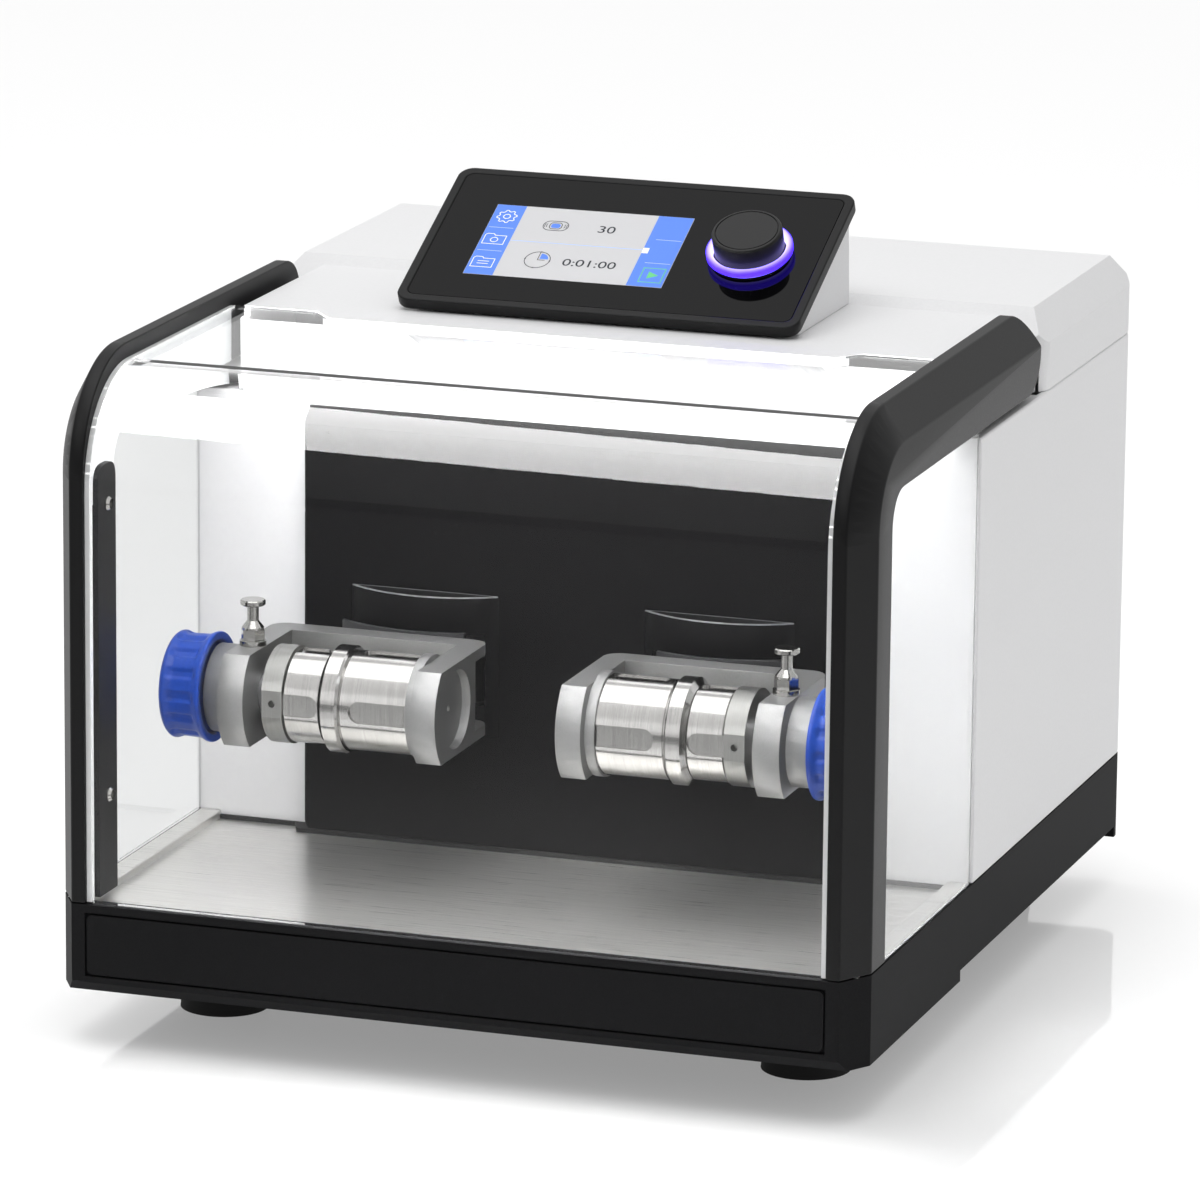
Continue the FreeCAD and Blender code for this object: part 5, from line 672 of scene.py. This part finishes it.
def build_clamp_knobs(finishes):
    """Blue grip knobs with a waist, raised grip pads between flutes and a rounded rim."""
    tree = flute_tree()
    flutes, steps_per_flute, run_length = 14, 14, 1.2
    for name, side in SIDES:
        low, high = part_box(name + "_clamp_knob")
        inner, outer = sorted((abs(low.x) / MM, abs(high.x) / MM))
        profile = softened([(inner + 5.0, 0), (inner + 5.0, 21.0), (inner, 21.0), (inner, 24.9),
                            (inner + 1.6, 24.95), (inner + 4.6, 23.5), (outer - 5.4, 23.2), (outer - 2.0, 24.6),
                            (outer, 22.6), (outer - 0.4, 0)], 1.4, 5)
        fine = []
        for first, second in zip(profile, profile[1:]):
            pieces = max(1, int((second - first).length / run_length))
            fine += [first.lerp(second, k / pieces) for k in range(pieces)]
        fine.append(profile[-1])
        bm = bmesh.new()
        spin(bm, [(side * along, radius) for along, radius in fine], "X", JAR_AXIS, flutes * steps_per_flute)
        blank = to_mesh(bm, "knob_blank", 50)
        made = run_tree(tree, name + "_knob_grip", blank, {
            "Count": float(flutes), "Depth": 1.1 * MM,
            "Low End": (inner + 3.2) * MM, "High End": (outer - 2.6) * MM,
            "Ramp": 1.6 * MM, "Axis": Vector((0, JAR_AXIS[0], JAR_AXIS[1])) * MM,
            "Material": finishes["knob_blue"]})
        knob = as_piece(name + "_knob_grip", made, [], name + "_screw")
        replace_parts(knob, name + "_clamp_knob")


def build_screws(finishes):
    """Socket screws in place of the plain heads on the hood's rails and the rear wall."""
    tree = screw_tree()
    head = 3.2
    low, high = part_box("hood_screws")
    levels = (low.z + head * MM, high.z - head * MM)
    depth = (low.y + high.y) / 2
    rail_face = high.x - RAIL_THICKNESS * MM
    for name, side in SIDES:
        places = [(side * rail_face / MM, depth / MM, level / MM) for level in levels]
        made = run_tree(tree, name + "_hood_fixings", points_mesh(places), {
            "Head Radius": head * MM, "Head Height": 2.0 * MM, "Socket Radius": 1.5 * MM,
            "Turn": (0, -side * math.pi / 2, 0), "Material": finishes["bright_steel"]})
        fixings = as_piece(name + "_hood_fixings", made, [], "hood")
        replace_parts(fixings, "hood_screws")

    head = 3.5
    low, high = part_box("rear_screws")
    levels = (low.z + head * MM, (low.z + high.z) / 2, high.z - head * MM)
    places = [(side * (high.x / MM - head), low.y / MM, level / MM) for _, side in SIDES for level in levels]
    made = run_tree(tree, "rear_fixings", points_mesh(places), {
        "Head Radius": head * MM, "Head Height": 2.2 * MM, "Socket Radius": 1.6 * MM,
        "Turn": (-math.pi / 2, 0, 0), "Material": finishes["bright_steel"]})
    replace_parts(as_piece("rear_fixings", made, [], "chassis"), "rear_screws")


def build_rear_and_feet(finishes):
    """Slanted slats in the rear grille's slots, and grip ribs round the rubber feet."""
    low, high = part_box("vent_grille")
    middle_x, margin, slots = (low.x + high.x) / 2, 12.0 * MM, 7
    slat_size, slat_turn = Vector((97.0, 0.7, 3.4)) * MM, math.radians(-24)
    pitch = (high.z - low.z - margin) / slots
    first = low.z + margin / 2 + pitch / 2
    made = run_tree(slat_tree(), "vent_slats", points_mesh([(0, 0, 0)]), {
        "Count": slots, "Start": Vector((middle_x, low.y + 0.9 * MM, first)), "Step": Vector((0, 0, pitch)),
        "Slat Size": slat_size, "Turn": Vector((slat_turn, 0, 0)),
        "Material": finishes["charcoal_plastic"]})
    as_piece("vent_slats", made, [], "chassis")

    low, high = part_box("rubber_feet")
    foot_radius, rib_middle = 20.0, 17.0
    places = [(x, y, rib_middle) for x in (low.x / MM + foot_radius, high.x / MM - foot_radius)
              for y in (low.y / MM + foot_radius, high.y / MM - foot_radius)]
    made = run_tree(rib_tree(), "foot_ribs", points_mesh(places), {
        "Count": 30, "Ring Radius": 18.1 * MM, "Rib Size": Vector((1.4, 1.6, 18.0)) * MM,
        "Material": finishes["foot_rubber"]})
    as_piece("foot_ribs", made, [], "chassis")


def build_switch_signs(finishes):
    """A recessed bar and ring on the mains switch's rocker."""
    low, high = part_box("power_switch_rocker")
    middle_x, middle_z = (low.x + high.x) / 2 / MM, (low.z + high.z) / 2 / MM
    sink, buried, proud = 1.6, -1.4, 0.9
    facing = Matrix.Translation(Vector((middle_x, high.y / MM - sink, middle_z)) * MM) @ Matrix.Rotation(
        math.pi, 4, "Z") @ Matrix.Rotation(math.pi / 2, 4, "X")
    bm = bmesh.new()
    raise_stroke(bm, [(0, 3.2), (0, 6.4)], 1.0, buried, proud, facing)
    raise_stroke(bm, oval((0, -4.8), 1.8, 1.8, 1.8), 0.8, buried, proud, facing, closed=True)
    as_piece("switch_signs", to_mesh(bm, "switch_signs"), [finishes["sign_white"]], "power_switch")


# Clear hood's own edges
def bend_points(centre, radius, turns):
    """Points of an arc in the side view (y, z), from the front up and over to the top."""
    return [(centre[0] - radius * math.cos(math.radians(t)), centre[1] + radius * math.sin(math.radians(t)))
            for t in turns]


def build_hood_edges(finishes):
    """The bent sheet's side edges, drawn as opaque pale strips that are a painted highlight, the pale flange
    that joins it to the arms, and the dark rails on the arms that hold the screws."""
    turns = range(0, 91, 6)
    rear, foot = -40.0, 66.4
    edge, flange_low, face = (168.6, 170.9), 170.4, ARM_FACE - 0.05
    outer = [(-214.3, foot)] + bend_points(HOOD_BEND, 50.05, turns) + [(rear, 302.0)]
    inner = [(-210.4, foot)] + bend_points(HOOD_BEND, 46.15, turns) + [(rear, 298.2)]
    arm_bend = (-164.25, 257.0)
    flange = [(-209.8, foot)] + bend_points(HOOD_BEND, 45.5, turns) + [(rear, 297.5)]
    flange_inner = [(-205.6, foot), (-205.6, 244.0), (-200.0, 252.0), (-184.0, 254.0)] + bend_points(
        arm_bend, 16.4, turns) + [(rear, 273.4)]
    bm = bmesh.new()
    for _, side in SIDES:
        raise_flat(bm, outer + inner[::-1], side * edge[0], side * edge[1], ACROSS, 0)
        raise_flat(bm, flange + flange_inner[::-1], side * flange_low, side * face, ACROSS, 1)
    as_piece("hood_sheet_edges", to_mesh(bm, "hood_sheet_edges"),
             [finishes["glass_edge"], finishes["glass_flange"]], "hood")
    bm = bmesh.new()
    rail = softened([(-205.0, foot), (-205.0, 261.0), (-184.5, 261.0), (-184.5, foot)], 8.0, 6)
    for _, side in SIDES:
        raise_flat(bm, rail, side * (ARM_FACE - RAIL_THICKNESS), side * face, ACROSS)
    as_piece("hood_rails", to_mesh(bm, "hood_rails"), [finishes["charcoal_plastic"]],
             "hood")


# Chamber details
def build_floor_trims(finishes):
    """Folded steel rims of the floor sheet along both sides, and the rubber seal at its back."""
    rim_front, rim_rear, seal_low, seal_high = -207.0, -46.2, 62.0, 64.0
    bm = bmesh.new()
    for _, side in SIDES:
        section = [(side * x, z) for x, z in ((173.4, 61.9), (173.4, 65.4), (174.0, 65.85), (182.8, 65.85),
                                             (182.8, 65.5), (174.1, 65.5), (173.85, 65.2), (173.85, 61.9))]
        raise_flat(bm, section, rim_front, rim_rear, LENGTHWAYS)
    as_piece("floor_rims", to_mesh(bm, "floor_rims"), [finishes["floor_steel"]], "chassis")
    bm = bmesh.new()
    half = [(173.2, -45.9), (173.2, -47.4), (136.0, -47.4), (131.8, -56.9), (0.0, -56.9)]
    raise_flat(bm, half + [(-x, y) for x, y in half[-2::-1]], seal_low, seal_high, LEVEL)
    as_piece("floor_seal", to_mesh(bm, "floor_seal"), [finishes["foot_rubber"]], "chassis")


def arc_round(centre_x, radius, low_x, high_x, pieces=40):
    """Points of the front arc about a rocker's pivot, from one x to another."""
    across = [low_x + (high_x - low_x) * k / pieces for k in range(pieces + 1)]
    return [(x, PIVOT_Y - math.sqrt(radius ** 2 - (x - centre_x) ** 2)) for x in across]


def build_slot_edges(finishes):
    """Painted highlights: bright metal lines along the tops of the shrouds and of the shields that move in them,
    standing in for the light their edges catch.
    """
    shroud_radius, shroud_half, shroud_back, shroud_top = 60.2, 34.8, -55.6, (180.5, 181.05)
    shield_radius, shield_top, line_width = 68.6, (166.0, 166.45), 0.7
    for name, side in SIDES:
        centre = side * PIVOT_X
        left, right = centre - shroud_half, centre + shroud_half
        bm = bmesh.new()
        raise_stroke(bm, arc_round(centre, shroud_radius, left, right), line_width, *shroud_top, LEVEL)
        raise_stroke(bm, [(left, shroud_back), (right, shroud_back)], 0.6, *shroud_top, LEVEL)
        as_piece(name + "_shroud_edge", to_mesh(bm, name + "_shroud_edge"), [finishes["worn_edge"]],
                 "chassis")
        bm = bmesh.new()
        low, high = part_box(name + "_slot_shield")
        raise_stroke(bm, arc_round(centre, shield_radius, low.x / MM + 0.8, high.x / MM - 0.8), line_width,
                     *shield_top, LEVEL)
        as_piece(name + "_shield_edge", to_mesh(bm, name + "_shield_edge"), [finishes["worn_edge"]],
                 name + "_rocker")


# Broken edges of the larger parts, by their width in mm
BROKEN_EDGES = {
    "left_hood_arm": 0.9, "right_hood_arm": 0.9, "base_tray": 0.9, "base_front_panel": 0.5,
    "panel_bezel": 0.8, "housing_lid": 1.2, "housing_shell": 1.2, "front_wall": 0.5,
    "chamber_back_plate": 0.5, "panel_pedestal": 1.0, "left_jar_holder": 0.5, "right_jar_holder": 0.5,
    "slot_shrouds": 0.4, "left_slot_shield": 0.4, "right_slot_shield": 0.4}


def break_edges():
    """Breaks sharp edges, so that they catch a line of light as painted and machined ones do."""
    for name, width in BROKEN_EDGES.items():
        node = NODES[name]
        joined = node.modifiers.new("joined", "WELD")
        joined.merge_threshold = 0.01 * MM
        flat = node.modifiers.new("flat", "DECIMATE")
        flat.decimate_type = "DISSOLVE"
        flat.angle_limit = math.radians(0.5)
        broken = node.modifiers.new("broken_edge", "BEVEL")
        broken.width = width * MM
        broken.segments = 2
        broken.limit_method = "ANGLE"
        broken.angle_limit = math.radians(28)
        broken.harden_normals = True


def put_finishes(finishes):
    """Gives each CAD node the finish of its material slot."""
    for part in frame["record"]["subparts"]:
        node = NODES[part["node"]]
        for one in node.material_slots:
            one.material = finishes[part["material_slot"]]
    for name in ("hood_window", "left_side_window", "right_side_window"):
        NODES[name].visible_shadow = False
    # The wall behind the jars takes the duller copy of the white paint, a painted shade.
    NODES["front_wall"].material_slots[0].material = finishes["chamber_white"]
    for name, _ in SIDES:
        NODES[name + "_side_window"].material_slots[0].material = finishes["side_window"]
        NODES[name + "_pressure_disk"].material_slots[0].material = finishes["dull_steel"]


# Studio
def floor_finish():
    """Pale gloss under and behind the object, and grey from a little way in front of it: the grey is painted
    shade, so that the hood reflects a dark floor in front. The floor glows faintly in these colours.
    """
    grey_ends, pale_starts = -0.85, -0.48
    made = finish("pale_gloss_floor", "#F6F6F6", 0.06, {"IOR": 1.65, "Emission Strength": 0.3})
    tree = made.node_tree
    shader = tree.nodes["Principled BSDF"]
    place = add(tree, "ShaderNodeTexCoord")
    parts = add(tree, "ShaderNodeSeparateXYZ", {0: place.outputs["Object"]})
    front = add(tree, "ShaderNodeMapRange", {
        "Value": parts.outputs["Y"], "From Min": grey_ends, "From Max": pale_starts},
        interpolation_type="SMOOTHSTEP")
    # Painted shade: the floor turns grey in front of the object.
    tone = add(tree, "ShaderNodeMix", {
        0: front.outputs[0], 6: linear("#A8A8A8"), 7: linear("#F8F8F8")}, data_type="RGBA")
    tree.links.new(tone.outputs[2], shader.inputs["Base Color"])
    tree.links.new(tone.outputs[2], shader.inputs["Emission Color"])
    return made


def studio_world():
    """A white backdrop, and round it a room that is bright above and behind, and dim in front."""
    bright_way, dim, bright = (-0.25, 0.62, 0.74), 0.1, 0.8
    world = bpy.data.worlds.new("studio")
    world.use_nodes = True
    tree = world.node_tree
    tree.nodes.clear()
    way = add(tree, "ShaderNodeTexCoord")
    facing = add(tree, "ShaderNodeVectorMath", {
        0: way.outputs["Generated"], 1: bright_way}, operation="DOT_PRODUCT")
    room = add(tree, "ShaderNodeMapRange", {
        "Value": facing.outputs["Value"], "From Min": -0.7, "From Max": 0.9, "To Min": dim, "To Max": bright})
    ray = add(tree, "ShaderNodeLightPath")
    seen = add(tree, "ShaderNodeMath", {0: ray.outputs["Is Camera Ray"], 1: ray.outputs["Is Transmission Ray"]},
               operation="MAXIMUM")
    strength = add(tree, "ShaderNodeMix", {0: seen.outputs[0], 2: room.outputs[0], 3: 1.0})
    sky = add(tree, "ShaderNodeBackground", {"Color": (1, 1, 1, 1), "Strength": strength.outputs[0]})
    add(tree, "ShaderNodeOutputWorld", {"Surface": sky.outputs[0]})
    bpy.context.scene.world = world


def build_studio():
    """A pale floor, a bright plain room and soft lights, some of which reach only glass or steel."""
    bm = bmesh.new()
    bmesh.ops.create_circle(bm, cap_ends=True, segments=96, radius=14)
    mesh = bpy.data.meshes.new("studio_floor")
    bm.to_mesh(mesh)
    bm.free()
    floor = bpy.data.objects.new("studio_floor", mesh)
    mesh.materials.append(floor_finish())
    bpy.context.scene.collection.objects.link(floor)
    studio_world()

    glass = bpy.data.collections.new("only_the_hood_glass")
    glass.objects.link(NODES["hood_window"])
    rest = bpy.data.collections.new("all_but_the_hood_glass")
    rest.objects.link(NODES["hood_window"])
    rest.collection_objects[0].light_linking.link_state = "EXCLUDE"
    steel = bpy.data.collections.new("jars")
    for name, _ in SIDES:
        for part in ("_jar_body", "_jar_lid", "_pressure_disk", "_locking_plunger", "_plunger_sleeve"):
            steel.objects.link(NODES[name + part])
    # Name, place, target, width and height in metres, power in watts, and what alone it lights
    for name, place, target, size, power, receivers in (
            ("top_softbox", (-0.2, -0.45, 2.4), (0, -0.1, 0.2), (2.6, 1.8), 26, None),
            ("front_softbox", (-1.0, -2.4, 1.9), (0, -0.2, 0.2), (1.4, 1.0), 10, rest),
            ("hood_softbox", (-0.53, -0.81, 1.79), (0, -0.2, 0.29), (2.6, 1.15), 380, glass),
            ("high_jar_strip", (-0.31, 0.19, 1.04), (0, -0.13, 0.15), (1.6, 0.12), 5, steel),
            ("middle_jar_strip", (-0.31, -0.46, 1.04), (0, -0.13, 0.15), (1.6, 0.15), 3, steel),
            ("low_jar_strip", (-0.31, -1.04, 0.41), (0, -0.13, 0.15), (1.6, 0.12), 10, steel)):
        lamp = bpy.data.lights.new(name, "AREA")
        lamp.shape = "RECTANGLE"
        lamp.size, lamp.size_y = size
        lamp.energy = power
        light = bpy.data.objects.new(name, lamp)
        light.location = place
        light.rotation_euler = (Vector(target) - Vector(place)).to_track_quat("-Z", "Y").to_euler()
        bpy.context.scene.collection.objects.link(light)
        if receivers:
            light.light_linking.receiver_collection = receivers
            light.visible_transmission = False
            light.visible_diffuse = False
    bpy.context.scene.view_settings.view_transform = "Standard"


place_camera()
finishes = make_finishes()
ring_glow(finishes["light_ring"])
put_finishes(finishes)
build_display_picture(finishes)
build_control_knob(finishes)
build_clamp_knobs(finishes)
build_screws(finishes)
build_rear_and_feet(finishes)
build_switch_signs(finishes)
build_hood_edges(finishes)
build_floor_trims(finishes)
build_slot_edges(finishes)
break_edges()
build_studio()
